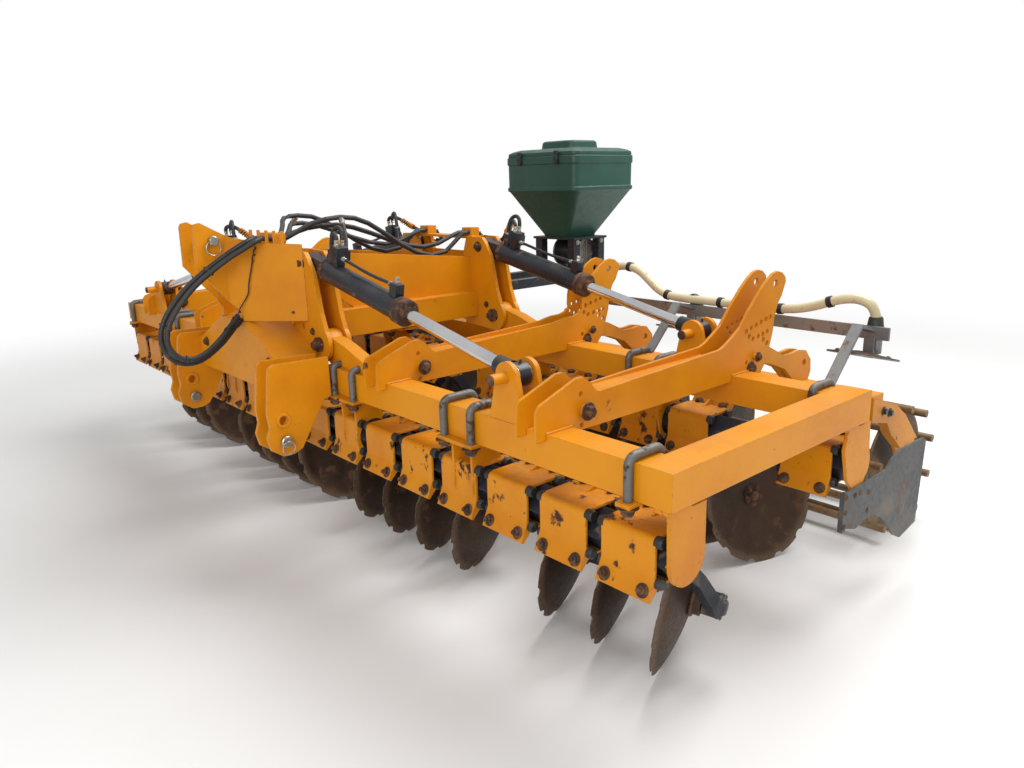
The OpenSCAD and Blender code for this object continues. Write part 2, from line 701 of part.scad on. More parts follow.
// Comb on the left mast plate, with an upright on each side of a hose, and the hose block
module hose_comb() {
  for (i = [0 : 4]) {
    along_x = comb_start + i * comb_pitch;
    translate([mast_x, mast_y, 1380 + 0.064 * along_x]) rotate([0, 0, mast_turn])
      translate([along_x - 4, -8, 0]) cube([8, 16, 54]);
  }
  box(row_x + 22, row_x + 32, -286, 286, 1366, 1384);
  box(row_x + 5, row_x + 50, 16, 182, block_z - 21, block_z + 21);
}
module pins() {
  for (s = [-1, 1]) {
    for (cx = [cyl_fx, cyl_rx]) {
      rod_x(cx - 66, s * hinge_y, hinge_z, hinge_d, 132);
      rod_x(cx + 54.3, s * hinge_y, hinge_z, 62, 12);
      rod_x(cx - 60, s * base_y, base_z, cyl_pin_d, 114);
    }
    rod_y(lower_x, s * lower_y - 75, lower_z, lower_d, 150);
  }
  rod_y(top_x, -100, top_z, top_d, 200);
}

// Seed box with stand and fan
module bin() {
  difference() {
    union() {
      translate([hop_x - hop_l / 2, -hop_w / 2, hop_z - 190]) cube([hop_l, hop_w, 190]);
      hull() {
        translate([hop_x - hop_l / 2, -hop_w / 2, hop_z - 195]) cube([hop_l, hop_w, 6]);
        translate([hop_x - 120, -100, 1289.3]) cube([240, 200, 6]);
      }
      translate([hop_x - hop_l / 2 + 40, -hop_w / 2 + 40, hop_z]) cube([hop_l - 80, hop_w - 80, 90]);
    }
    translate([hop_x - hop_l / 2 + 8, -hop_w / 2 + 8, hop_z - 180]) cube([hop_l - 16, hop_w - 16, 170]);
  }
}
module bin_stand() {
  for (s = [-1, 1]) {
    box(cyl_rx - 50.3, hop_x - 140, s * 110, s * 160, 1040, 1090);
    box(hop_x - 130, hop_x - 80, s * 110, s * 160, 1090, 1284);
    box(hop_x + 80, hop_x + 130, s * 110, s * 160, 1090, 1284);
  }
  box(hop_x - 140, hop_x + 140, -170, 170, 1276, 1289);
}
module fan() {
  rod_y(hop_x - 40, -90, 1190, 171, 180);
}

module chassis_front() { color(paint) front_tower_frame(); }
module chassis_rear() { color(paint) rear_tower_frame(); }
module hitch_mast() { color(paint) mast(); }
module lower_clevises() { color(paint) clevises(); }
module frame_pins() { color(steel) pins(); }
module seed_box() { color(green) bin(); }
module seed_stand() { color(dark) bin_stand(); }
module seed_fan() { color(dark) fan(); }
module hydraulic_lines() {
  color(dark) for (line = line_table) {
    hose(line, line_d);
  }
}
module hose_loop_1() { color(dark) hose(loop_1, hose_d); }
module hose_loop_2() { color(dark) hose(loop_2, hose_d); }
module seed_hose(s) {
  color(ivory) hose([for (p = seed_route) [p[0] + bar_x, s * p[1], p[2] + bar_z]], seed_hose_d);
}
module left_seed_hose() { seed_hose(1); }
module right_seed_hose() { seed_hose(-1); }
module left_beams() { color(paint) beams(); }
module right_beams() { color(paint) mirror([0, 1, 0]) beams(); }
module left_members() { color(paint) members(); }
module right_members() { color(paint) mirror([0, 1, 0]) members(); }
module left_front_gang() { color(paint) front_gang(); }
module right_front_gang() { color(paint) mirror([0, 1, 0]) front_gang(); }
module left_rear_gang() { color(paint) rear_gang(); }
module right_rear_gang() { color(paint) mirror([0, 1, 0]) rear_gang(); }
module left_roller_frame() { color(paint) roller_frame(); }
module right_roller_frame() { color(paint) mirror([0, 1, 0]) roller_frame(); }
module left_roller() { color(paint) roller(); }
module right_roller() { color(paint) mirror([0, 1, 0]) roller(); }
module left_barrels() { color(dark) barrels(); }
module right_barrels() { color(dark) mirror([0, 1, 0]) barrels(); }
module left_rods() { color(steel) rods(); }
module right_rods() { color(steel) mirror([0, 1, 0]) rods(); }
module left_deflector() { color(dark) deflector(); }
module right_deflector() { color(dark) mirror([0, 1, 0]) deflector(); }
module left_seed_bar() { color(steel) seed_bar(); }
module right_seed_bar() { color(steel) mirror([0, 1, 0]) seed_bar(); }
module left_front_disc(i) { color(rust) front_disc(i); }
module right_front_disc(i) { color(rust) mirror([0, 1, 0]) front_disc(i); }
module left_rear_disc(i) { color(rust) rear_disc(i); }
module right_rear_disc(i) { color(rust) mirror([0, 1, 0]) rear_disc(i); }

chassis_front();
chassis_rear();
hitch_mast();
lower_clevises();
frame_pins();
hydraulic_lines();
hose_loop_1();
hose_loop_2();
seed_box();
seed_stand();
seed_fan();
left_beams();
left_members();
left_front_gang();
left_rear_gang();
left_roller_frame();
left_roller();
left_barrels();
left_rods();
left_deflector();
left_seed_bar();
left_seed_hose();
right_beams();
right_members();
right_front_gang();
right_rear_gang();
right_roller_frame();
right_roller();
right_barrels();
right_rods();
right_deflector();
right_seed_bar();
right_seed_hose();
left_front_disc(1);  // left_front_disc_1
left_front_disc(2);  // left_front_disc_2
left_front_disc(3);  // left_front_disc_3
left_front_disc(5);  // left_front_disc_5
left_front_disc(6);  // left_front_disc_6
left_front_disc(7);  // left_front_disc_7
left_front_disc(8);  // left_front_disc_8
left_rear_disc(1);  // left_rear_disc_1
left_rear_disc(2);  // left_rear_disc_2
left_rear_disc(3);  // left_rear_disc_3
left_rear_disc(4);  // left_rear_disc_4
left_rear_disc(5);  // left_rear_disc_5
left_rear_disc(6);  // left_rear_disc_6
right_front_disc(1);  // right_front_disc_1
right_front_disc(2);  // right_front_disc_2
right_front_disc(3);  // right_front_disc_3
right_front_disc(5);  // right_front_disc_5
right_front_disc(6);  // right_front_disc_6
right_front_disc(7);  // right_front_disc_7
right_front_disc(8);  // right_front_disc_8
right_rear_disc(1);  // right_rear_disc_1
right_rear_disc(2);  // right_rear_disc_2
right_rear_disc(3);  // right_rear_disc_3
right_rear_disc(4);  // right_rear_disc_4
right_rear_disc(5);  // right_rear_disc_5
right_rear_disc(6);  // right_rear_disc_6
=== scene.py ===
# Folding disc harrow with seed box: finishes, small parts, hoses, light and camera.
import bpy
import bmesh
import json
import math
from mathutils import Matrix, Vector


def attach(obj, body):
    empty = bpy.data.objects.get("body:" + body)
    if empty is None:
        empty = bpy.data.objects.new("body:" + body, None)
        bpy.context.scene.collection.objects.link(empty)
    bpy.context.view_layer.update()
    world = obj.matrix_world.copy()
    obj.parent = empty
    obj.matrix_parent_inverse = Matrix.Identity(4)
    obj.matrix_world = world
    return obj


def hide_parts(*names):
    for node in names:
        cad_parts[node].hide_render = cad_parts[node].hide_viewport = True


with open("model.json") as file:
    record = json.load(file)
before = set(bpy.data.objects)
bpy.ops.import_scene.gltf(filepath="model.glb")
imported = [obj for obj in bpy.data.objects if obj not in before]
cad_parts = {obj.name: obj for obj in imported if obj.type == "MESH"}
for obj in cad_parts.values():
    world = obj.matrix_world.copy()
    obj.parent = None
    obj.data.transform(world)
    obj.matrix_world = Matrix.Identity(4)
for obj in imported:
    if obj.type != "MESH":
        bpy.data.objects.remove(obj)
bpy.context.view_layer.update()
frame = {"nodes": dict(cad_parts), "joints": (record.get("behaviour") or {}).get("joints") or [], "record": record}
sides = (("left", 1), ("right", -1))
print("frame loaded")

# Camera

cameraSettings = {
    "place": (2.4915, 3.3176, 1.6199),
    "heading": 48.515,
    "pitch": 14.667,
    "roll": -1.369,
    "lens": 27.38,
    "sensor": 36.0,
}


def makeCamera(settings):
    heading = math.radians(settings["heading"])
    pitch = math.radians(settings["pitch"])
    roll = math.radians(settings["roll"])
    look = Vector((-math.cos(heading) * math.cos(pitch),
                   -math.sin(heading) * math.cos(pitch), -math.sin(pitch)))
    right = look.cross(Vector((0, 0, 1))).normalized()
    up = right.cross(look)
    across = right * math.cos(roll) + up * math.sin(roll)
    upward = -right * math.sin(roll) + up * math.cos(roll)
    data = bpy.data.cameras.new("camera")
    data.lens = settings["lens"]
    data.sensor_width = settings["sensor"]
    data.dof.use_dof = False
    obj = bpy.data.objects.new("camera", data)
    turn = Matrix((across, upward, -look)).transposed().to_4x4()
    obj.matrix_world = Matrix.Translation(settings["place"]) @ turn
    bpy.context.scene.collection.objects.link(obj)
    bpy.context.scene.camera = obj


makeCamera(cameraSettings)

# Node helpers


def feed(tree, source, target):
    if hasattr(source, "links"):
        tree.links.new(source, target)
    else:
        target.default_value = source


def addNode(tree, kind, given=None, **values):
    node = tree.nodes.new("ShaderNode" + kind)
    for key, value in values.items():
        setattr(node, key, value)
    for key, source in (given or {}).items():
        feed(tree, source, node.inputs[key])
    return node


def calc(tree, operation, first, second=0.0, clamp=False):
    return addNode(tree, "Math", {0: first, 1: second}, operation=operation, use_clamp=clamp).outputs[0]


def vectorCalc(tree, operation, first, second=(0.0, 0.0, 0.0)):
    node = addNode(tree, "VectorMath", {0: first, 1: second}, operation=operation)
    return node.outputs["Value" if operation in ("LENGTH", "DOT_PRODUCT") else "Vector"]


def mixColour(tree, factor, first, second):
    return addNode(tree, "Mix", {0: factor, 6: first, 7: second}, data_type="RGBA").outputs[2]


def mixValue(tree, factor, first, second):
    return addNode(tree, "Mix", {0: factor, 2: first, 3: second}, data_type="FLOAT").outputs[0]


def ramped(tree, value, low, high):
    return addNode(tree, "MapRange", {"Value": value, "From Min": low, "From Max": high},
                   interpolation_type="SMOOTHSTEP").outputs["Result"]


def noiseOf(tree, place, scale, detail, roughness):
    return addNode(tree, "TexNoise", {"Vector": place, "Scale": scale, "Detail": detail,
                                      "Roughness": roughness}).outputs["Fac"]


def objectPlace(tree):
    return addNode(tree, "TexCoord").outputs["Object"]


def heightOf(tree, vector):
    return addNode(tree, "SeparateXYZ", {0: vector}).outputs["Z"]


def turnCentre(tree):
    return addNode(tree, "Attribute", attribute_type="OBJECT",
                   attribute_name="turnCentre").outputs["Vector"]


def newGroup(name, inputs, outputs=(("Mask", "Float"),)):
    tree = bpy.data.node_groups.new(name, "ShaderNodeTree")
    for label, value in inputs.items():
        kind = "Vector" if isinstance(value, tuple) else "Float"
        socket = tree.interface.new_socket(label, in_out="INPUT", socket_type="NodeSocket" + kind)
        socket.default_value = value
    for label, kind in outputs:
        tree.interface.new_socket(label, in_out="OUTPUT", socket_type="NodeSocket" + kind)
    return tree, tree.nodes.new("NodeGroupInput").outputs, tree.nodes.new("NodeGroupOutput").inputs


def patchesGroup():
    tree, given, result = newGroup("patches", dict(Scale=4.0, Detail=6.0, Low=0.5, High=0.7))
    noise = noiseOf(tree, objectPlace(tree), given["Scale"], given["Detail"], 0.62)
    feed(tree, ramped(tree, noise, given["Low"], given["High"]), result["Mask"])
    return tree


def edgesGroup():
    tree, given, result = newGroup("wornEdges", dict(Width=0.003, Amount=0.6),
                                   (("Mask", "Float"), ("Normal", "Vector")))
    rounded = addNode(tree, "Bevel", {"Radius": given["Width"]}, samples=6).outputs["Normal"]
    aligned = vectorCalc(tree, "DOT_PRODUCT", rounded, addNode(tree, "NewGeometry").outputs["Normal"])
    bend = calc(tree, "MULTIPLY", calc(tree, "SUBTRACT", 1.0, aligned), 6.0)
    noise = noiseOf(tree, objectPlace(tree), 28.0, 7.0, 0.7)
    limit = calc(tree, "SUBTRACT", 1.0, given["Amount"])
    worn = calc(tree, "MULTIPLY", bend, ramped(tree, noise, 0.42, 0.62))
    feed(tree, ramped(tree, worn, calc(tree, "MULTIPLY", limit, 0.5),
                      calc(tree, "ADD", limit, 0.25)), result["Mask"])
    feed(tree, rounded, result["Normal"])
    return tree


def dustGroup():
    tree, given, result = newGroup("settledDust", dict(Amount=0.4, Height=0.7))
    place = objectPlace(tree)
    cloud = ramped(tree, noiseOf(tree, place, 7.0, 8.0, 0.65), 0.38, 0.7)
    upward = ramped(tree, heightOf(tree, addNode(tree, "NewGeometry").outputs["Normal"]), 0.3, 1.0)
    low = calc(tree, "SUBTRACT", 1.0, ramped(tree, heightOf(tree, place), 0.1, given["Height"]))
    both = calc(tree, "MAXIMUM", calc(tree, "MULTIPLY", upward, 0.5), low)
    feed(tree, calc(tree, "MULTIPLY", calc(tree, "MULTIPLY", both, cloud), given["Amount"], True),
         result["Mask"])
    return tree


def rimGroup():
    tree, given, result = newGroup("nearRim", dict(Radius=0.25, Soft=0.02, Across=(1.0, 1.0, 1.0)))
    away = vectorCalc(tree, "SUBTRACT", objectPlace(tree), turnCentre(tree))
    reach = vectorCalc(tree, "LENGTH", vectorCalc(tree, "MULTIPLY", away, given["Across"]))
    far = calc(tree, "ADD", given["Radius"], given["Soft"])
    feed(tree, ramped(tree, reach, given["Radius"], far), result["Mask"])
    return tree


# Mask of the painted shade on the gangs: the tube inside the clamps and everything below Height
def gangGroup():
    tree, given, result = newGroup("paintedShadeTubeAndArms", dict(
        Centre=(0.0, 0.0, 0.6), Reach=0.068, Height=0.504, End=2.182))
    place = objectPlace(tree)
    away = vectorCalc(tree, "SUBTRACT", place, given["Centre"])
    reach = vectorCalc(tree, "LENGTH", vectorCalc(tree, "MULTIPLY", away, (1.0, 0.0, 1.0)))
    parts = addNode(tree, "SeparateXYZ", {0: place}).outputs
    tube = calc(tree, "LESS_THAN", reach, given["Reach"])
    below = calc(tree, "LESS_THAN", parts["Z"], given["Height"])
    inner = calc(tree, "LESS_THAN", calc(tree, "ABSOLUTE", parts["Y"]), given["End"])
    feed(tree, calc(tree, "MULTIPLY", calc(tree, "MAXIMUM", tube, below), inner), result["Mask"])
    return tree


groups = {"patches": patchesGroup(), "edges": edgesGroup(), "dust": dustGroup(), "rim": rimGroup(),
          "gang": gangGroup()}


def useGroup(tree, name, **values):
    node = addNode(tree, "Group")
    node.node_tree = groups[name]
    for key, value in values.items():
        feed(tree, value, node.inputs[key])
    return node.outputs


# Materials

# A finish gives what differs from the plain one
plainFinish = dict(metal=0.0, rough=0.5, edge=0.6, width=0.002, spots=0.6, spotScale=12.0, dust=0.3,
                   height=0.6, bump=0.2, gloss=0.5, soil=(0.36, 0.29, 0.20))
finishes = {
    "yellow_paint": dict(
        base=(0.69, 0.262, 0.003), other=(0.60, 0.200, 0.003), under=(0.075, 0.034, 0.018),
        bright=(0.80, 0.45, 0.13), rough=0.40, edge=0.56, width=0.0035, spots=0.66, spotScale=9.0,
        dust=0.42, height=0.80, bump=0.12, gloss=0.28, soil=(0.34, 0.21, 0.10)),
    # Gang paint: a slightly darker copy of the yellow paint for the low gangs, painted shade; its heavier, darker
    # soil is partly dirt and partly painted shade
    "gang_paint_shaded": dict(
        base=(0.67, 0.252, 0.003), other=(0.57, 0.184, 0.003), under=(0.060, 0.026, 0.016),
        bright=(0.80, 0.45, 0.13), rough=0.42, edge=0.62, width=0.0045, spotScale=11.0, dust=1.0,
        bump=0.16, gloss=0.28, soil=(0.20, 0.098, 0.040)),
    "disc_steel": dict(
        base=(0.062, 0.034, 0.022), other=(0.032, 0.019, 0.013), under=(0.125, 0.062, 0.030),
        bright=(0.26, 0.20, 0.145), metal=0.45, edge=0.7, width=0.003, spots=0.56, spotScale=14.0,
        dust=0.22, height=0.5, bump=0.3, gloss=0.3, soil=(0.17, 0.105, 0.058)),
    "grey_metal": dict(
        base=(0.065, 0.07, 0.072), other=(0.04, 0.043, 0.045), under=(0.15, 0.085, 0.05),
        bright=(0.22, 0.21, 0.2), metal=0.1, width=0.003, spotScale=8.0, dust=0.6, height=0.65,
        bump=0.15),
    "roller_steel": dict(
        base=(0.07, 0.05, 0.038), other=(0.038, 0.028, 0.022), under=(0.20, 0.10, 0.04),
        bright=(0.42, 0.27, 0.10), metal=0.35, rough=0.6, edge=0.7, width=0.003, spots=0.52, dust=0.6,
        height=0.7, bump=0.3),
    "black_metal": dict(
        base=(0.016, 0.019, 0.027), other=(0.028, 0.031, 0.04), under=(0.12, 0.085, 0.06),
        bright=(0.22, 0.22, 0.23), metal=0.2, rough=0.3, spots=0.62, spotScale=16.0, bump=0.1),
    "chrome_rod": dict(
        base=(0.80, 0.80, 0.81), other=(0.66, 0.66, 0.68), under=(0.5, 0.48, 0.45),
        bright=(0.9, 0.9, 0.9), metal=1.0, rough=0.12, edge=0.1, width=0.001, spots=0.72, spotScale=30.0,
        dust=0.1, height=0.3, bump=0.02),
    "galvanised": dict(
        base=(0.34, 0.345, 0.34), other=(0.22, 0.225, 0.225), under=(0.24, 0.16, 0.10),
        bright=(0.5, 0.5, 0.49), metal=0.75, edge=0.45, spotScale=18.0, bump=0.15),
    "pin_steel": dict(
        base=(0.30, 0.28, 0.25), other=(0.16, 0.14, 0.12), under=(0.14, 0.07, 0.035),
        bright=(0.55, 0.53, 0.5), metal=0.85, rough=0.42, spots=0.52, spotScale=22.0, dust=0.25),
    "green_plastic": dict(
        base=(0.013, 0.062, 0.043), other=(0.018, 0.078, 0.056), under=(0.03, 0.10, 0.075),
        bright=(0.07, 0.15, 0.12), rough=0.42, edge=0.35, width=0.004, spots=0.7, spotScale=6.0,
        dust=0.45, height=0.5, bump=0.06),
    "clear_hose": dict(
        base=(0.66, 0.58, 0.38), other=(0.55, 0.46, 0.28), under=(0.5, 0.44, 0.32),
        bright=(0.8, 0.74, 0.58), rough=0.28, edge=0.0, width=0.001, dust=0.25, height=0.5, bump=0.05),
    "black_rubber": dict(
        base=(0.014, 0.014, 0.014), other=(0.03, 0.029, 0.027), under=(0.06, 0.055, 0.05),
        bright=(0.08, 0.075, 0.07), edge=0.3, width=0.0015, spotScale=20.0, dust=0.35, bump=0.12),
    "clamp_steel": dict(
        base=(0.185, 0.180, 0.168), other=(0.115, 0.108, 0.098), under=(0.11, 0.062, 0.036),
        bright=(0.34, 0.33, 0.31), metal=0.6, rough=0.58, edge=0.4, spots=0.56, spotScale=20.0),
    "rusty_bolt": dict(
        base=(0.10, 0.05, 0.028), other=(0.045, 0.027, 0.02), under=(0.2, 0.10, 0.05),
        bright=(0.30, 0.25, 0.20), metal=0.5, rough=0.65, width=0.0015, spots=0.5, spotScale=40.0,
        dust=0.25, bump=0.4),
    "zinc_fitting": dict(
        base=(0.52, 0.50, 0.44), other=(0.36, 0.34, 0.29), under=(0.24, 0.2, 0.15),
        bright=(0.7, 0.69, 0.66), metal=0.95, rough=0.3, edge=0.5, width=0.001, spots=0.62,
        spotScale=50.0, dust=0.1, height=0.3, bump=0.1),
    "dark_spreader": dict(
        base=(0.035, 0.02, 0.014), other=(0.06, 0.03, 0.018), under=(0.12, 0.06, 0.03),
        bright=(0.2, 0.14, 0.1), metal=0.3, edge=0.5, spots=0.55, height=0.5),
}
rims = {"disc_steel": dict(radius=0.235, soft=0.035, strength=0.75, across=(1, 1, 1)),
        "roller_steel": dict(radius=0.262, soft=0.02, strength=0.85, across=(1, 0, 1))}


def makeMaterial(name):
    look = {**plainFinish, **finishes[name]}
    material = bpy.data.materials.new(name)
    material.use_nodes = True
    tree = material.node_tree
    shader = tree.nodes["Principled BSDF"]
    colours = {key: look[key] + (1.0,) for key in ("base", "other", "under", "bright", "soil")}
    cloud = useGroup(tree, "patches", Scale=2.6, Low=0.35, High=0.7)["Mask"]
    spots = useGroup(tree, "patches", Scale=look["spotScale"], Low=look["spots"],
                     High=look["spots"] + 0.06, Detail=9.0)["Mask"]
    grain = useGroup(tree, "patches", Scale=look["spotScale"] * 6, Low=0.3, High=0.7)["Mask"]
    edges = useGroup(tree, "edges", Width=look["width"], Amount=look["edge"])
    dust = useGroup(tree, "dust", Amount=look["dust"], Height=look["height"])["Mask"]
    coat = mixColour(tree, cloud, colours["base"], colours["other"])
    coat = mixColour(tree, spots, coat, colours["under"])
    worn = edges["Mask"]
    if name in rims:
        rim = rims[name]
        near = useGroup(tree, "rim", Radius=rim["radius"], Soft=rim["soft"],
                        Across=rim["across"])["Mask"]
        strength = mixValue(tree, grain, rim["strength"] * 0.5, rim["strength"])
        streak = calc(tree, "MULTIPLY", near, strength)
        worn = calc(tree, "MAXIMUM", worn, streak)
    coat = mixColour(tree, worn, coat, mixColour(tree, grain, colours["bright"], colours["under"]))
    coat = mixColour(tree, dust, coat, colours["soil"])
    # Painted shade: the gang tube inside the clamps and the arms below get a near-black coat made from the black
    # metal colours
    if name == "gang_paint_shaded":
        shadeTones = {key: finishes["black_metal"][key] + (1.0,) for key in ("base", "other", "under")}
        paintedShadeMask = useGroup(tree, "gang", Centre=turnCentre(tree))["Mask"]
        paintedShadeCoat = mixColour(tree, cloud, shadeTones["base"], shadeTones["other"])
        paintedShadeCoat = mixColour(tree, calc(tree, "MAXIMUM", spots, worn), paintedShadeCoat, shadeTones["under"])
        coat = mixColour(tree, paintedShadeMask, coat, paintedShadeCoat)
    dull = calc(tree, "MAXIMUM", spots, dust)
    rough = mixValue(tree, grain, look["rough"] * 0.85, min(1.0, look["rough"] * 1.2))
    rough = mixValue(tree, dull, rough, 0.85)
    height = calc(tree, "SUBTRACT", calc(tree, "MULTIPLY", grain, 0.4), calc(tree, "ADD", spots, worn))
    bump = addNode(tree, "Bump", {"Strength": look["bump"], "Distance": 0.002, "Height": height,
                                  "Normal": edges["Normal"]})
    for key, source in (("Base Color", coat), ("Metallic", look["metal"]), ("Roughness", rough),
                        ("Specular IOR Level", look["gloss"]), ("Normal", bump.outputs["Normal"])):
        feed(tree, source, shader.inputs[key])
    return material


materials = {name: makeMaterial(name) for name in finishes}
print("materials made")

# Mesh helpers


def addPiece(name, build, body, finish, side=1, **given):
    mesh = bmesh.new()
    build(mesh, **given)
    if side < 0:
        bmesh.ops.transform(mesh, matrix=Matrix.Diagonal((1, -1, 1, 1)), verts=mesh.verts)
    bmesh.ops.recalc_face_normals(mesh, faces=mesh.faces)
    data = bpy.data.meshes.new(name)
    mesh.to_mesh(data)
    mesh.free()
    data.shade_smooth()
    data.set_sharp_from_angle(angle=math.radians(35))
    obj = bpy.data.objects.new(name, data)
    bpy.context.scene.collection.objects.link(obj)
    data.materials.append(materials[finish])
    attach(obj, body)
    return obj


def around(radius, angle, height=0.0):
    return Vector((radius * math.cos(angle), radius * math.sin(angle), height))


def facing(place, axis):
    turn = Vector((0, 0, 1)).rotation_difference(Vector(axis).normalized())
    return Matrix.Translation(place) @ turn.to_matrix().to_4x4()


def fixedTo(matrix, place, axis):
    return facing(matrix @ Vector(place), matrix.to_3x3() @ Vector(axis))


def sunkAlong(place, axis, depth):
    return facing(Vector(place) - axis.normalized() * depth, axis)


def addTurned(mesh, matrix, profile, segments=24, closed=False):
    rings = []
    for radius, height in profile:
        count = segments if radius > 1e-6 else 1
        rings.append([mesh.verts.new(matrix @ around(radius, k * math.tau / segments, height))
                      for k in range(count)])
    pairs = list(zip(rings, rings[1:])) + ([(rings[-1], rings[0])] if closed else [])
    for low, high in pairs:
        for k in range(segments):
            corners = [low[k % len(low)], low[(k + 1) % len(low)],
                       high[(k + 1) % len(high)], high[k % len(high)]]
            unique = list(dict.fromkeys(corners))
            if len(unique) > 2:
                mesh.faces.new(unique)
    for ring in (rings[0], rings[-1]):
        if len(ring) > 2 and not closed:
            mesh.faces.new(ring)


def addBolt(mesh, place, axis, across=0.024, tail=0.0):
    matrix = facing(place, axis)
    r = across * 0.577
    h = across * 0.62
    addTurned(mesh, matrix, ((r * 1.5, 0), (r * 1.5, 0.003), (r * 1.42, 0.0036), (0, 0.0036)))
    addTurned(mesh, matrix, ((r, 0.003), (r, h * 0.85), (r * 0.86, h), (0, h)), 6)
    if tail:
        addTurned(mesh, matrix, ((r * 0.55, h * 0.8), (r * 0.55, h + tail * 0.9),
                                 (r * 0.45, h + tail), (0, h + tail)), 12)


def addBoltRing(mesh, matrix, angles, radius, height, axis, across):
    for angle in angles:
        addBolt(mesh, matrix @ around(radius, math.radians(angle), height), axis, across)


def addBlock(mesh, low, high, chamfer=0.003):
    low = Vector(low)
    high = Vector(high)
    made = bmesh.ops.create_cube(mesh, size=1.0)["verts"]
    for vert in made:
        vert.co = Vector([(a + b) / 2 + c * abs(b - a) for a, b, c in zip(low, high, vert.co)])
    edges = list(dict.fromkeys(edge for vert in made for edge in vert.link_edges))
    bmesh.ops.bevel(mesh, geom=edges, offset=chamfer, segments=2, affect="EDGES", profile=0.6)


def addTube(mesh, points, radius, segments=12):
    points = [Vector(p) for p in points]
    normal = None
    rings = []
    for i, point in enumerate(points):
        along = (points[min(i + 1, len(points) - 1)] - points[max(i - 1, 0)]).normalized()
        if normal is None:
            normal = along.orthogonal().normalized()
        normal = (normal - along * normal.dot(along)).normalized()
        across = along.cross(normal)
        rings.append([mesh.verts.new(point + radius * (math.cos(k * math.tau / segments) * normal
                                                       + math.sin(k * math.tau / segments) * across))
                      for k in range(segments)])
    for low, high in zip(rings, rings[1:]):
        for k in range(segments):
            mesh.faces.new((low[k], low[(k + 1) % segments], high[(k + 1) % segments], high[k]))
    mesh.faces.new(rings[0])
    mesh.faces.new(rings[-1])


def arcPoints(centre, first, second, start, stop, steps):
    centre, first, second = Vector(centre), Vector(first), Vector(second)
    return [centre + first * math.cos(a) + second * math.sin(a)
            for a in (math.radians(start + (stop - start) * k / steps) for k in range(steps + 1))]


def smoothRoute(points, steps=4):
    points = [Vector(p) for p in points]
    result = []
    for i in range(len(points) - 1):
        a = points[max(i - 1, 0)]
        b = points[i]
        c = points[i + 1]
        d = points[min(i + 2, len(points) - 1)]
        for k in range(steps):
            t = k / steps
            result.append(0.5 * (2 * b + (c - a) * t + (2 * a - 5 * b + 4 * c - d) * t * t
                                 + (3 * b - a - 3 * c + d) * t * t * t))
    return result + [points[-1]]


# Hoses that hang free, on the routes of the source's tubes

def inMetres(*points):
    return [tuple(value / 1000 for value in point) for point in points]


hoseRoutes = {
    "hose_loop_1": inMetres(
        (1110, 175, 1411), (1132, 195, 1411), (1165, 203, 1400), (1200, 186, 1378), (1240, 155, 1347),
        (1302, 116, 1296), (1370, 101, 1243), (1423, 98, 1193), (1468, 98, 1140), (1495, 98, 1093),
        (1508, 98, 1050), (1506, 98, 1008), (1490, 98, 966), (1460, 98, 936), (1418, 98, 921),
        (1369, 98, 924), (1318, 98, 948), (1269, 98, 982), (1234, 98, 1014), (1200, 98, 1049)),
    "hose_loop_2": inMetres(
        (1088, 199, 1410), (1110, 219, 1410), (1145, 229, 1397), (1188, 213, 1371), (1235, 182, 1338),
        (1298, 144, 1287), (1363, 129, 1234), (1416, 127, 1182), (1460, 127, 1128), (1486, 127, 1078),
        (1495, 127, 1034), (1488, 127, 998), (1466, 127, 966), (1430, 127, 947), (1386, 127, 946),
        (1340, 127, 965), (1296, 127, 997), (1256, 127, 1034), (1222, 127, 1070)),
}
seedRoute = inMetres(
    (0, 500.3, 82), (0, 530, 82), (0, 575, 104), (0, 635, 146), (0, 700, 176), (0, 775, 195),
    (0, 850, 198), (0, 915, 178), (0, 970, 140), (0, 1020, 105), (0, 1080, 82), (0, 1170, 74),
    (0, 1270, 74), (0, 1370, 74), (0, 1470, 74), (0, 1570, 74), (0, 1660, 76), (0, 1740, 86),
    (0, 1810, 104), (0, 1870, 126), (0, 1925, 142), (-2, 1980, 146), (-10, 2022, 130), (-24, 2038, 98),
    (-33, 2040, 66), (-33, 2040, 30.3))
barPlace = (-0.477, 1.000)
hoseSize = 0.024
thinHoseRadius = 0.0092
seedHoseSize = 0.040
# A dressed hose stays this far inside its solid
hoseSink = 0.0012


def makeCord(name, node, points, size, body, finish):
    route = smoothRoute(points)
    obj = addPiece(name, addTube, body, finish, points=route, radius=size / 2 - hoseSink, segments=16)
    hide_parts(node)


def buildCoupling(mesh, end, before):
    matrix = sunkAlong(end, Vector(end) - Vector(before), 0.001)
    addTurned(mesh, matrix, ((0.0135, 0), (0.0135, 0.012), (0.0105, 0.014), (0, 0.014)))
    addTurned(mesh, matrix, ((0.0155, 0.012), (0.0155, 0.022), (0.014, 0.024), (0, 0.024)), 6)
    addTurned(mesh, matrix, ((0.0115, 0.022), (0.0115, 0.036), (0.010, 0.040), (0, 0.0405)))


for number in (1, 2):
    node = "hose_loop_%d" % number
    route = hoseRoutes[node]
    coupling = addPiece("hoseCoupling%d" % number, buildCoupling, "chassis", "black_metal",
                        end=route[-1], before=route[-2])
    makeCord("hoseLoop%d" % number, node, route, hoseSize, "chassis", "black_rubber")
for side, sign in sides:
    route = [(x + barPlace[0], sign * y, z + barPlace[1]) for x, y, z in seedRoute]
    makeCord(side + "SeedHose", side + "_seed_hose", route, seedHoseSize, side + "_wing",
             "clear_hose")
print("hoses made")

# Places taken from the solids

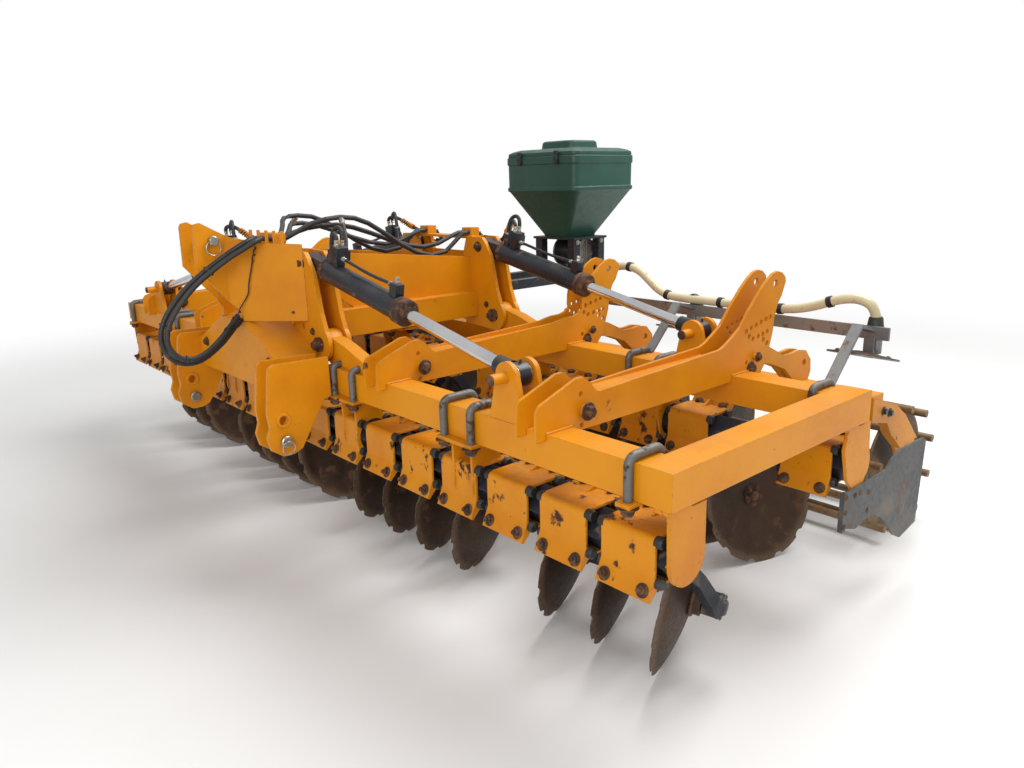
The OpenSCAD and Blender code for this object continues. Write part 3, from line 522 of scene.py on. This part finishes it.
discPitch = 0.25
discRadius = 0.28
beamTop = 0.895
beamSize = 0.108
beamBottom = beamTop - beamSize
frontBeam = 0.926
rearBeam = -0.038
frontGang = 0.897
rearGang = -0.108
gangHeight = 0.622
frontRow = 0.973
rearRow = -0.032
memberSpots = (0.857, 1.707)
hangerSpots = (0.600, 1.342)
cylinderPlanes = (0.927, -0.022)
holderSpots = ([(frontGang, 2.060 - discPitch * k) for k in range(8)]
               + [(rearGang, y) for y in [2.042] + [1.530 - discPitch * k for k in range(6)]])
hingePin = (0.412, 0.978)
rollerAxis = (-1.027, 0.305)
clevisPin = (1.233, 0.648)
clevisMiddle = 0.482
upperHole = 0.732
topPin = (1.253, 1.407)
spreaderSpots = (1.220, 2.040)
fanAxis = (-0.974, 1.190)
faces = {"bearing": 2.040, "arm": 2.067, "deflector": 2.2063, "tower": 1.173, "fan": 0.0905,
         "stand": 0.160}
discFrames = (
    {"row": "front", "x": 0.543, "y": 1.920, "turn": -1, "angle": 22, "lean": 8,
     "numbers": (1, 2, 3, 5, 6, 7, 8)},
    {"row": "rear", "x": -0.367, "y": 1.680, "turn": 1, "angle": 18, "lean": 12,
     "numbers": (1, 2, 3, 4, 5, 6)},
)

# Finish of the solids

turnCentres = {}
for joint in frame["joints"]:
    if joint["name"].endswith("_spin"):
        turnCentres[joint["child"]] = joint["pos_m"]
for part in frame["record"]["subparts"]:
    obj = frame["nodes"][part["node"]]
    for slotItem in obj.material_slots:
        slotItem.material = materials[part["material_slot"]]
        # Gang solids take the darker paint that carries the painted shade
        if part["node"].endswith("_gang"):
            slotItem.material = materials["gang_paint_shaded"]
    if part["node"] in turnCentres:
        obj["turnCentre"] = list(turnCentres[part["node"]])
    if part["node"].endswith("_gang"):
        gang = frontGang if "_front_" in part["node"] else rearGang
        obj["turnCentre"] = [gang, 0.0, gangHeight]
print("solids finished")


def wingPieces(label, build, finish, body="wing", **given):
    for side, sign in sides:
        addPiece(side + label, build, side + "_" + body, finish, sign, **given)


# Bolts, ribs and welds of the holders

capBolts = (
    {"x": 0.0915, "z": -0.080, "spread": 0.068, "axis": (0.922, 0, 0.387)},
    {"x": -0.086, "z": 0.0735, "spread": 0.056, "axis": (0.78, 0, 0.625)},
)


def buildCapBolts(mesh):
    for x, y in holderSpots:
        for step in (-1, 1):
            for bolt in capBolts:
                place = (x + bolt["x"], y + step * bolt["spread"], gangHeight + bolt["z"])
                addBolt(mesh, place, bolt["axis"], 0.024, 0.010)


capRib = {"thick": 0.008,
          "outline": ((-0.060, 0.076), (-0.030, 0.076), (-0.090, 0.108), (-0.100, 0.100))}


def buildCapRibs(mesh):
    for x, y in holderSpots:
        near, far = ([mesh.verts.new((x + dx, y + step * capRib["thick"] / 2, gangHeight + dz))
                      for dx, dz in capRib["outline"]] for step in (-1, 1))
        mesh.faces.new(near)
        mesh.faces.new(far)
        for k in range(4):
            mesh.faces.new((near[k], near[(k + 1) % 4], far[(k + 1) % 4], far[k]))


capRubber = {"radius": 0.0176, "offset": 0.0594, "start": 0.088, "reach": 0.113}


def buildCapRubbers(mesh):
    r = capRubber["radius"]
    length = capRubber["reach"] - capRubber["start"]
    for x, y in holderSpots:
        for step in (-1, 1):
            for sx, sz in ((-1, -1), (-1, 1), (1, -1), (1, 1)):
                place = (x + sx * capRubber["offset"], y + step * capRubber["start"],
                         gangHeight + sz * capRubber["offset"])
                addTurned(mesh, facing(place, (0, step, 0)),
                          ((r, 0), (r, length - 0.005), (r * 0.8, length), (0, length)), 16)


uBolt = {"radius": 0.0135, "rise": 0.016, "below": 0.042, "out": 0.0145, "corner": 0.026}


def addUBolt(mesh, x, y):
    r = uBolt["corner"]
    left = x - beamSize / 2 - uBolt["out"]
    right = x + beamSize / 2 + uBolt["out"]
    top = beamTop + uBolt["rise"]
    bottom = beamBottom - uBolt["below"]
    points = [(left, y, bottom), (left, y, top - r - 0.02)]
    points += arcPoints((left + r, y, top - r), (r, 0, 0), (0, 0, r), 180, 90, 7)
    points += arcPoints((right - r, y, top - r), (r, 0, 0), (0, 0, r), 90, 0, 7)
    points += [(right, y, top - r - 0.02), (right, y, bottom)]
    addTube(mesh, points, uBolt["radius"], 14)


def uBoltSpots():
    return [(x, y + step) for x in (frontBeam, rearBeam) for y in hangerSpots
            for step in (-0.072, 0.072)] + [(frontBeam, 2.078), (rearBeam, 2.078)]


def buildUBolts(mesh):
    for x, y in uBoltSpots():
        addUBolt(mesh, x, y)


def buildUBoltNuts(mesh):
    for x, y in uBoltSpots():
        for leg in (-1, 1):
            place = (x + leg * (beamSize / 2 + uBolt["out"]), y, beamBottom - 0.0145)
            addBolt(mesh, place, (0, 0, -1), 0.036)


def buildEndClamps(mesh):
    for x in (frontBeam, rearBeam):
        addBlock(mesh, (x - 0.092, 2.052, beamBottom - 0.014),
                 (x + 0.092, 2.101, beamBottom - 0.0005), 0.002)


def buildWelds(mesh):
    for y in memberSpots:
        for face in (-0.0485, 0.0485):
            for x in (frontBeam, rearBeam):
                count = 26
                points = [(x + (k / count - 0.5) * beamSize, y + face + 0.0012 * math.sin(k * 2.1),
                           beamTop + 0.002) for k in range(count + 1)]
                addTube(mesh, points, 0.0045, 8)


wingPieces("CapBolts", buildCapBolts, "rusty_bolt")
wingPieces("CapRibs", buildCapRibs, "yellow_paint")
wingPieces("CapRubbers", buildCapRubbers, "black_rubber")
wingPieces("UBolts", buildUBolts, "clamp_steel")
wingPieces("UBoltNuts", buildUBoltNuts, "rusty_bolt")
wingPieces("EndClamps", buildEndClamps, "yellow_paint")
wingPieces("Welds", buildWelds, "yellow_paint")
print("holders dressed")

# Hubs and housings of the discs

hub = {"face": -0.041, "boltRadius": 0.034, "boltAcross": 0.016, "back": -0.0555, "housing": -0.150}


def discMatrix(row, number):
    lean = math.radians(row["lean"])
    place = (row["x"], row["y"] - discPitch * (number - 1), discRadius * math.cos(lean))
    return (Matrix.Translation(place)
            @ Matrix.Rotation(row["turn"] * math.radians(90 - row["angle"]), 4, "Z")
            @ Matrix.Rotation(math.pi / 2 - lean, 4, "Y"))


def buildHub(mesh, matrix):
    face = matrix @ Matrix.Translation((0, 0, hub["face"]))
    addTurned(mesh, face, ((0.022, 0), (0.022, 0.012), (0.018, 0.018), (0.008, 0.021), (0, 0.0215)))
    axis = matrix.to_3x3() @ Vector((0, 0, 1))
    addBoltRing(mesh, face, range(0, 360, 72), hub["boltRadius"], 0, axis, hub["boltAcross"])
    back = matrix @ Matrix.Translation((0, 0, hub["back"]))
    addTurned(mesh, back, ((0.064, -0.004), (0.060, -0.010), (0.053, -0.011), (0.053, -0.004)))


def buildHousings(mesh, row):
    for number in row["numbers"]:
        matrix = discMatrix(row, number) @ Matrix.Translation((0, 0, hub["housing"]))
        addTurned(mesh, matrix, ((0.043, 0.012), (0.044, 0.004), (0.040, -0.003), (0.028, -0.006),
                                 (0.026, -0.014), (0.020, -0.019), (0, -0.021)))
        axis = matrix.to_3x3() @ Vector((0, 0, -1))
        addBoltRing(mesh, matrix, (45, 135, 225, 315), 0.035, -0.003, axis, 0.011)


for row in discFrames:
    title = row["row"].title()
    for number in row["numbers"]:
        wingPieces("%sHub%d" % (title, number), buildHub, "rusty_bolt",
                   "%s_disc_%d" % (row["row"], number), matrix=discMatrix(row, number))
    wingPieces(title + "Housings", buildHousings, "black_metal", row=row)
print("hubs made")

# Cylinders: glands, port blocks, hard lines and eyes

basePin = (0.308, 1.307)
eyePin = (1.578, 1.038)
cylinderLength = math.dist(basePin, eyePin)
lineRadius = 0.0065
valve = {"start": 0.178, "stop": 0.236, "low": 0.042, "high": 0.122, "half": 0.027}
valveMiddle = (valve["start"] + valve["stop"]) / 2
portPost = 0.150
rodPort = 0.620
lineLift = 0.078


def cylinderMatrix(x):
    along = Vector((0, eyePin[0] - basePin[0], eyePin[1] - basePin[1])).normalized()
    first = Vector((-1, 0, 0))
    second = along.cross(first)
    turn = Matrix((first, second, along)).transposed().to_4x4()
    return Matrix.Translation((x, *basePin)) @ turn


def buildGlands(mesh, matrix):
    addTurned(mesh, matrix, ((0.045, 0.648), (0.051, 0.650), (0.051, 0.664), (0.0485, 0.667),
                             (0.0485, 0.672), (0.051, 0.675), (0.051, 0.694), (0.046, 0.698),
                             (0.027, 0.698), (0.027, 0.704), (0.0235, 0.706), (0.0232, 0.690)), 40)
    addTurned(mesh, matrix, ((0.044, 0.120), (0.0475, 0.122), (0.0475, 0.138), (0.0445, 0.142)), 40)


def buildPorts(mesh, matrix):
    block = bmesh.new()
    half, foot, middle = valve["half"], valve["low"], valveMiddle
    addBlock(block, (-half, foot + 0.018, valve["start"]), (half, valve["high"], valve["stop"]), 0.004)
    addBlock(block, (-half * 0.7, foot, middle - 0.020), (half * 0.7, foot + 0.022, middle + 0.020))
    addBlock(block, (half - 0.004, 0.062, middle - 0.016), (half + 0.018, 0.104, middle + 0.016))
    addBlock(block, (-0.019, 0.040, rodPort - 0.022), (0.019, 0.092, rodPort + 0.022))
    addTurned(block, facing((0, 0.040, portPost), (0, 1, 0)),
              ((0.019, 0), (0.019, 0.030), (0.015, 0.034), (0.015, 0.056), (0, 0.056)), 20)
    block.transform(matrix)
    data = bpy.data.meshes.new("port")
    block.to_mesh(data)
    mesh.from_mesh(data)
    bpy.data.meshes.remove(data)
    block.free()


def buildPortLines(mesh, matrix):
    start, stop = valve["stop"], rodPort - 0.022
    route = [(0, lineLift - sink, z) for z, sink in (
        (start + 0.01, 0), (start + 0.06, 0), (start + 0.15, 0.004), (stop - 0.12, 0.004),
        (stop - 0.05, 0), (stop - 0.01, 0))]
    addTube(mesh, [matrix @ p for p in smoothRoute(route)], lineRadius)


def addFitting(mesh, matrix, place, axis, size=1.0):
    scaled = fixedTo(matrix, place, axis) @ Matrix.Scale(size, 4)
    addTurned(mesh, scaled, ((0.013, 0), (0.013, 0.012), (0.0115, 0.014), (0, 0.014)), 6)
    addTurned(mesh, scaled, ((0.010, 0.013), (0.010, 0.020), (0.0125, 0.021), (0.0125, 0.032),
                             (0.011, 0.034), (0, 0.034)), 6)


def buildPortFittings(mesh, matrix):
    addFitting(mesh, matrix, (0, lineLift, valve["stop"] - 0.001), (0, 0, 1), 0.8)
    addFitting(mesh, matrix, (0, lineLift, rodPort - 0.021), (0, 0, -1), 0.8)
    addFitting(mesh, matrix, (0, 0.091, rodPort), (0, 1, 0), 0.7)
    for step in (-0.013, 0.013):
        addFitting(mesh, matrix, (step, valve["high"] - 0.001, valveMiddle), (0, 1, 0), 0.8)
    addTurned(mesh, fixedTo(matrix, (0.004, 0.083, valve["start"] + 0.001), (0, 0.15, -1)),
              ((0.011, 0), (0.011, 0.010), (0.007, 0.013), (0.007, 0.020), (0, 0.021)), 6)
    addTurned(mesh, fixedTo(matrix, (0, 0.096, portPost), (0, 1, 0)),
              ((0.0155, 0), (0.0155, 0.007), (0.013, 0.009), (0, 0.009)), 6)


# Hoses from the valve to the swivel on the base pin and to the port post, in the cylinder's frame

valveHoses = (
    inMetres((-13, 147, 207), (-13, 158, 202), (-8, 166, 186), (8, 160, 160), (26, 136, 128),
             (46, 104, 98), (58, 86, 74), (68, 72, 56), (77, 50, 38), (79, 34, 25)),
    inMetres((13, 147, 207), (13, 160, 205), (14, 180, 196), (12, 188, 178), (6, 178, 160),
             (1, 155, 151), (0, 128, 150), (0, 108, 150)),
)


def buildValveHoses(mesh, matrix):
    for points in valveHoses:
        addTube(mesh, [matrix @ p for p in smoothRoute(points)], thinHoseRadius, 14)


def buildSwivels(mesh, matrix):
    addTurned(mesh, fixedTo(matrix, (0.0603, 0, 0), (1, 0, 0)),
              ((0.014, 0), (0.020, 0.002), (0.020, 0.044), (0.014, 0.047), (0.0115, 0.050),
               (0.0115, 0.053), (0, 0.053)), 24)
    addTurned(mesh, fixedTo(matrix, (0.079, 0.014, 0.0093), (0, 0.83, 0.55)),
              ((0.0115, 0), (0.0115, 0.012), (0.010, 0.026), (0, 0.026)), 12)


spring = {"radius": 0.0135, "wire": 0.0024, "turns": 8, "steps": 15}


def buildSprings(mesh, matrix):
    line = smoothRoute(valveHoses[0][4:7], 8)
    count = spring["turns"] * spring["steps"]
    points = []
    for k in range(count + 1):
        step = k / count * (len(line) - 1)
        low = min(int(step), len(line) - 2)
        spot = line[low].lerp(line[low + 1], step - low)
        along = (line[low + 1] - line[low]).normalized()
        first = along.cross(Vector((1, 0, 0))).normalized()
        second = along.cross(first)
        reach = around(spring["radius"], k * math.tau / spring["steps"])
        points.append(matrix @ (spot + reach.x * first + reach.y * second))
    addTube(mesh, points, spring["wire"], 6)


def buildEyes(mesh, matrix):
    centre = matrix @ Vector((0, 0, cylinderLength))
    addTurned(mesh, facing(centre - Vector((0.0265, 0, 0)), (1, 0, 0)),
              ((0.036, 0), (0.0388, 0.003), (0.0388, 0.050), (0.036, 0.053), (0.018, 0.053)), 36)
    addTurned(mesh, matrix, ((0.0235, cylinderLength - 0.098), (0.030, cylinderLength - 0.094),
                             (0.031, cylinderLength - 0.070), (0.034, cylinderLength - 0.034)), 30)
    addTurned(mesh, facing(centre + Vector((0, 0.010, 0.037)), (0, 0.25, 1)),
              ((0.005, 0), (0.005, 0.006), (0.003, 0.010), (0.0035, 0.014), (0, 0.015)), 10)


def cylinderPieces(label, build, finish, body="barrels"):
    def buildBoth(mesh):
        for x in cylinderPlanes:
            build(mesh, cylinderMatrix(x))
    wingPieces(label, buildBoth, finish, body)


cylinderPieces("Glands", buildGlands, "rusty_bolt")
cylinderPieces("PortBlocks", buildPorts, "black_metal")
cylinderPieces("HardLines", buildPortLines, "black_metal")
cylinderPieces("PortFittings", buildPortFittings, "zinc_fitting")
cylinderPieces("ValveHoses", buildValveHoses, "black_rubber")
cylinderPieces("Swivels", buildSwivels, "black_metal")
cylinderPieces("Springs", buildSprings, "yellow_paint")
cylinderPieces("RodEyes", buildEyes, "black_metal", "rods")
print("cylinders dressed")

# Pins and bolts of the members, ears and towers


def buildMemberBolts(mesh):
    for y in memberSpots:
        for step in (-1, 1):
            addBolt(mesh, (frontRow - 0.158, y + step * 0.062, beamTop + 0.039), (0, step, 0), 0.034)
            addBolt(mesh, (rearRow - 0.078, y + step * 0.048, 0.903), (0, step, 0), 0.030)
            addBolt(mesh, (rearRow - 0.103, y + step * 0.062, 0.945), (0, step, 0), 0.022)
    for x in cylinderPlanes:
        addTurned(mesh, facing((x + 0.112, *eyePin), (1, 0, 0)),
                  ((0.018, -0.002), (0.0175, 0.004), (0.012, 0.006), (0, 0.006)))
        addBolt(mesh, (x - 0.066, *eyePin), (-1, 0, 0), 0.030)


def buildTowerBolts(mesh):
    for x in cylinderPlanes:
        for side, sign in sides:
            y, z = hingePin[0] * sign, hingePin[1]
            addBolt(mesh, (x + 0.0663, y, z), (1, 0, 0), 0.036)
            addBolt(mesh, (x - 0.066, y, z), (-1, 0, 0), 0.036)
            addBolt(mesh, (x + 0.054, basePin[0] * sign, basePin[1]), (1, 0, 0), 0.030)
            addBolt(mesh, (x + 0.054, y - sign * 0.052, z + 0.048), (1, 0, 0), 0.018)
    for y in (-0.33, 0.33):
        for z in (0.86, 0.92):
            addBolt(mesh, (faces["tower"], y, z), (1, 0, 0), 0.026)


def buildRollerBearings(mesh):
    x, z = rollerAxis
    matrix = facing((x, faces["bearing"], z), (0, 1, 0))
    addTurned(mesh, matrix, ((0.056, 0), (0.056, 0.010), (0.050, 0.013), (0.040, 0.022), (0.040, 0.030),
                             (0.030, 0.034), (0.012, 0.034), (0, 0.034)), 40)
    for angle in (45, 135, 225, 315):
        reach = around(0.052, math.radians(angle))
        addBolt(mesh, (x + reach.x, faces["bearing"] + 0.010, z + reach.y), (0, 1, 0), 0.018)
    for x, z in ((-0.93, 0.46), (-0.87, 0.45), (-0.60, 0.69), (-0.66, 0.67)):
        addBolt(mesh, (x, faces["arm"], z), (0, 1, 0), 0.022)


def buildDeflectorBolts(mesh):
    for x, z in ((-0.022, 0.42), (-0.022, 0.475), (-0.022, 0.53), (-0.20, 0.43), (-0.20, 0.50),
                 (-0.09, 0.52), (-0.13, 0.52)):
        addTurned(mesh, facing((x, faces["deflector"], z), (0, 1, 0)),
                  ((0.011, 0), (0.0105, 0.002), (0.007, 0.0034), (0, 0.0036)))


wingPieces("MemberBolts", buildMemberBolts, "rusty_bolt")
wingPieces("RollerBearings", buildRollerBearings, "black_metal")
wingPieces("DeflectorBolts", buildDeflectorBolts, "rusty_bolt")
addPiece("towerBolts", buildTowerBolts, "chassis", "rusty_bolt")

# Hitch pins with their rings and clips, raised rings of the clevises


def addRing(mesh, centre, radius, wire):
    addTube(mesh, arcPoints(centre, (radius, 0, 0), (0, 0, radius), 0, 360, 28), wire, 10)


def buildPinHardware(mesh):
    x, z = clevisPin
    for side, sign in sides:
        y = clevisMiddle * sign
        for step in (-1, 1):
            addTurned(mesh, facing((x, y + step * 0.073, z), (0, step, 0)),
                      ((0.024, 0), (0.024, 0.006), (0.020, 0.010), (0, 0.010)))
        addRing(mesh, (x, y + sign * 0.088, z - 0.023), 0.026, 0.0032)
    x, z = topPin
    for step in (-1, 1):
        addTurned(mesh, facing((x, step * 0.098, z), (0, step, 0)),
                  ((0.021, 0), (0.021, 0.008), (0.017, 0.012), (0, 0.012)))
    addRing(mesh, (x, 0.092, z - 0.029), 0.030, 0.0035)


ringOutline = ((0.0192, 0.0), (0.0192, 0.006), (0.028, 0.006), (0.031, 0.0))


def buildClevisRings(mesh):
    for side, sign in sides:
        for step in (1, -1):
            y = sign * (clevisMiddle + step * 0.060)
            matrix = facing((clevisPin[0], y, upperHole), (0, sign * step, 0))
            addTurned(mesh, matrix, ringOutline, 32, closed=True)


addPiece("pinHardware", buildPinHardware, "chassis", "zinc_fitting")
addPiece("clevisRings", buildClevisRings, "chassis", "yellow_paint")
print("pins dressed")

# Ties, boots and clamps of the hoses


def addBand(mesh, points, index, radius, width):
    axis = Vector(points[index + 1]) - Vector(points[index - 1])
    matrix = sunkAlong(points[index], axis, width / 2)
    addTurned(mesh, matrix, ((radius, 0), (radius + 0.003, 0.001), (radius + 0.003, width - 0.001),
                             (radius, width)), 20)


def buildHoseTies(mesh):
    for index in (5, 9, 13):
        for route in hoseRoutes.values():
            addBand(mesh, route, index, hoseSize / 2, 0.010)
    loop = inMetres((1243, 82, 1018), (1222, 84, 1034), (1221, 114, 1053), (1232, 143, 1068),
                    (1252, 143, 1056), (1262, 128, 1042), (1250, 96, 1024))
    for lift in (-0.004, 0.003):
        addTube(mesh, smoothRoute([(x, y, z + lift) for x, y, z in loop]), 0.0032, 8)
    cord = inMetres((1234, 146, 1064), (1205, 140, 1095), (1186, 128, 1125), (1156, 150, 1180),
                    (1149, 157, 1229), (1140, 166, 1275), (1134, 172, 1307))
    addTube(mesh, smoothRoute(cord), 0.0028, 8)
    twist = []
    for k in range(49):
        share = k / 48
        spot = Vector(cord[-1]).lerp(Vector((1.118, 0.190, 1.382)), share)
        reach = around(0.006 * math.sin(share * math.pi), share * math.tau * 3)
        twist.append(spot + Vector((reach.x, 0.7 * reach.x, reach.y)))
    addTube(mesh, twist, 0.0034, 8)


def buildSeedBoots(mesh):
    x, z = barPlace
    for y in spreaderSpots:
        socket = facing((x - 0.033, y, z + 0.022), (0, 0, 1))
        addTurned(mesh, socket, ((0.033, 0), (0.034, 0.006), (0.031, 0.012), (0.033, 0.018),
                                 (0.030, 0.026), (0.026, 0.055), (0.0215, 0.060), (0.020, 0.052)))
    bend = ((-0.033, 0.050), (-0.030, 0.066), (-0.016, 0.076), (0, 0.076))
    addTube(mesh, smoothRoute([(x + dx, spreaderSpots[0], z + dz) for dx, dz in bend]), 0.0225, 16)
    route = [(px + x, py, pz + z) for px, py, pz in seedRoute]
    for index in (2, 6, 10, 13, 16, 19):
        addBand(mesh, route, index, seedHoseSize / 2, 0.022)


def buildSeedSpreaders(mesh):
    x, z = barPlace
    for y in spreaderSpots:
        matrix = Matrix.Translation((x + 0.055, y, 0.9445)) @ Matrix.Rotation(math.radians(-14), 4, "Y")
        addTurned(mesh, matrix, ((0.128, 0), (0.1295, 0.0015), (0.128, 0.003), (0.110, 0.004),
                                 (0.060, 0.010), (0.020, 0.016), (0, 0.0165)), 40)
        addBoltRing(mesh, matrix, (40, 140, 220, 320), 0.10, 0.004, (0, 0, 1), 0.012)


def buildBarBolts(mesh):
    x, z = barPlace
    for y in spreaderSpots:
        for step in (-0.012, 0.012):
            addBolt(mesh, (x - 0.005, y + step, z + 0.036), (-1, 0, 0), 0.013)
            addBolt(mesh, (rearBeam - 0.085, y + step, beamTop - 0.006), (0, 0, 1), 0.015)


addPiece("hoseTies", buildHoseTies, "chassis", "black_rubber")
wingPieces("SeedBoots", buildSeedBoots, "black_rubber")
wingPieces("Spreaders", buildSeedSpreaders, "dark_spreader")
wingPieces("BarBolts", buildBarBolts, "zinc_fitting")
print("hoses dressed")

# Hoses between the lines on the chassis and the cylinders' base ports

branchHoses = (
    inMetres((812, 308, 1307), (790, 308, 1312), (762, 298, 1345), (745, 275, 1400), (735, 245, 1445),
             (724, 214, 1470)),
    inMetres((-137, 308, 1307), (-156, 304, 1305), (-170, 280, 1305), (-165, 245, 1310),
             (-140, 215, 1318), (-107, 194, 1334), (-86, 185, 1356), (-68, 182, 1371),
             (-53, 182, 1373)),
)


def buildBranches(mesh):
    for points in branchHoses:
        addTube(mesh, smoothRoute(points), thinHoseRadius, 14)


def buildBranchFittings(mesh):
    for points in branchHoses:
        for end, before in ((points[0], points[1]), (points[-1], points[-2])):
            matrix = sunkAlong(end, Vector(before) - Vector(end), 0.001)
            addTurned(mesh, matrix, ((0.0125, 0), (0.0125, 0.014), (0.011, 0.016), (0, 0.016)), 6)
            addTurned(mesh, matrix, ((0.0112, 0.014), (0.0112, 0.032), (0.0095, 0.034), (0, 0.034)))


for side, sign in sides:
    addPiece(side + "BranchHoses", buildBranches, "chassis", "black_rubber", sign)
    addPiece(side + "BranchFittings", buildBranchFittings, "chassis", "zinc_fitting", sign)

# Seed box

seedBox = {"centre": (-0.934, 0.0), "corner": 6}
shell = ((1.2895, 0.120, 0.100, 0.02), (1.300, 0.122, 0.104, 0.02), (1.548, 0.247, 0.278, 0.045),
         (1.556, 0.2565, 0.2875, 0.045), (1.574, 0.2565, 0.2875, 0.045), (1.578, 0.251, 0.282, 0.045),
         (1.700, 0.252, 0.283, 0.045), (1.704, 0.2565, 0.2875, 0.045), (1.742, 0.2565, 0.2875, 0.045),
         (1.745, 0.254, 0.285, 0.045))
lid = ((1.7452, 0.250, 0.281, 0.045), (1.752, 0.252, 0.283, 0.045), (1.766, 0.250, 0.281, 0.045),
       (1.776, 0.236, 0.266, 0.050), (1.786, 0.205, 0.232, 0.050), (1.790, 0.130, 0.145, 0.045),
       (1.792, 0.120, 0.135, 0.045), (1.824, 0.116, 0.131, 0.045), (1.832, 0.108, 0.122, 0.045),
       (1.834, 0.060, 0.070, 0.030))


def roundedRing(z, halfX, halfY, radius, steps):
    cx, cy = seedBox["centre"]
    points = []
    for quarter, (sx, sy) in enumerate(((1, 1), (-1, 1), (-1, -1), (1, -1))):
        for k in range(steps + 1):
            angle = math.radians(90 * quarter + 90 * k / steps)
            points.append(around(radius, angle, z)
                          + Vector((cx + sx * (halfX - radius), cy + sy * (halfY - radius), 0)))
    return points


def buildLoft(mesh, rings):
    rows = [[mesh.verts.new(p) for p in roundedRing(*ring, seedBox["corner"])] for ring in rings]
    for low, high in zip(rows, rows[1:]):
        for k in range(len(low)):
            mesh.faces.new((low[k], low[(k + 1) % len(low)], high[(k + 1) % len(low)], high[k]))
    mesh.faces.new(rows[0])
    mesh.faces.new(rows[-1])


def buildLatches(mesh):
    cx, cy = seedBox["centre"]
    for sx in (-1, 1):
        for y in (-0.15, 0.15):
            x = cx + sx * 0.262
            addBlock(mesh, (x - 0.006, y - 0.016, 1.700), (x + 0.006, y + 0.016, 1.772))
            x += sx * 0.002
            addBlock(mesh, (x - 0.010, y - 0.010, 1.725), (x + 0.010, y + 0.010, 1.745))


hopper = addPiece("seedShell", buildLoft, "chassis", "green_plastic", rings=shell)
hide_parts("seed_box")
addPiece("seedLid", buildLoft, "chassis", "green_plastic", rings=lid)
addPiece("seedLatches", buildLatches, "chassis", "black_metal")


def buildFanGrilles(mesh):
    x, z = fanAxis
    for step in (-1, 1):
        addTurned(mesh, facing((x, step * faces["fan"], z), (0, step, 0)),
                  ((0.080, 0), (0.0855, 0.004), (0.0855, 0.010), (0.078, 0.012), (0.076, 0.004)), 40)
        centre = Vector((x, step * (faces["fan"] + 0.008), z))
        for radius in (0.018, 0.034, 0.050, 0.066):
            addRing(mesh, centre, radius, 0.0018)
        for angle in range(0, 180, 45):
            across = around(0.078, math.radians(angle))
            reach = Vector((across.x, 0, across.y))
            addTube(mesh, (centre - reach, centre, centre + reach), 0.002, 8)
    for x in (-1.035, -0.833):
        for step in (-1, 1):
            for z in (1.110, 1.262):
                addBolt(mesh, (x, step * faces["stand"], z), (0, step, 0), 0.016)


addPiece("fanGrilles", buildFanGrilles, "chassis", "zinc_fitting")
print("seed box made")

# Floor, light and background

white = (1, 1, 1, 1)
stageSettings = {"floor": (0.80, 0.80, 0.79, 1.0), "rough": 0.9, "ambient": 0.60, "white": 1.0,
                 "near": 3.0, "far": 7.5}
lamps = (
    {"name": "keyLight", "place": (-2.5, 2.0, 6.0), "size": 5.0, "power": 420.0},
    {"name": "fillLight", "place": (5.5, 4.5, 3.2), "size": 4.0, "power": 150.0},
)


def cameraRay(tree):
    return addNode(tree, "LightPath").outputs["Is Camera Ray"]


def makeFloor():
    mesh = bmesh.new()
    bmesh.ops.create_grid(mesh, x_segments=8, y_segments=8, size=60)
    data = bpy.data.meshes.new("floor")
    mesh.to_mesh(data)
    mesh.free()
    floor = bpy.data.objects.new("floor", data)
    bpy.context.scene.collection.objects.link(floor)
    material = bpy.data.materials.new("floor")
    material.use_nodes = True
    tree = material.node_tree
    shader = tree.nodes["Principled BSDF"]
    cloud = useGroup(tree, "patches", Scale=0.8, Low=0.3, High=0.7)["Mask"]
    tone = stageSettings["floor"]
    feed(tree, mixColour(tree, cloud, tone, tuple(c * 0.97 for c in tone[:3]) + (1.0,)),
         shader.inputs["Base Color"])
    feed(tree, stageSettings["rough"], shader.inputs["Roughness"])
    glow = addNode(tree, "Emission", {"Color": white}).outputs[0]
    reach = vectorCalc(tree, "LENGTH", objectPlace(tree))
    far = ramped(tree, reach, stageSettings["near"], stageSettings["far"])
    share = calc(tree, "MULTIPLY", far, cameraRay(tree))
    blend = addNode(tree, "MixShader", {0: share, 1: shader.outputs[0], 2: glow}).outputs[0]
    feed(tree, blend, tree.nodes["Material Output"].inputs["Surface"])
    data.materials.append(material)


def makeLamps():
    for lamp in lamps:
        data = bpy.data.lights.new(lamp["name"], "AREA")
        data.shape = "DISK"
        data.size = lamp["size"]
        data.energy = lamp["power"]
        obj = bpy.data.objects.new(lamp["name"], data)
        toward = Vector((0, 0, 0.6)) - Vector(lamp["place"])
        obj.matrix_world = (Matrix.Translation(lamp["place"])
                            @ toward.to_track_quat("-Z", "Y").to_matrix().to_4x4())
        bpy.context.scene.collection.objects.link(obj)


def makeWorld():
    world = bpy.data.worlds.new("studio")
    bpy.context.scene.world = world
    world.use_nodes = True
    tree = world.node_tree
    seen = tree.nodes["Background"].inputs
    feed(tree, white, seen["Color"])
    feed(tree, mixValue(tree, cameraRay(tree), stageSettings["ambient"], stageSettings["white"]),
         seen["Strength"])


makeFloor()
makeLamps()
makeWorld()
bpy.context.scene.view_settings.view_transform = "Standard"

print("stage made")
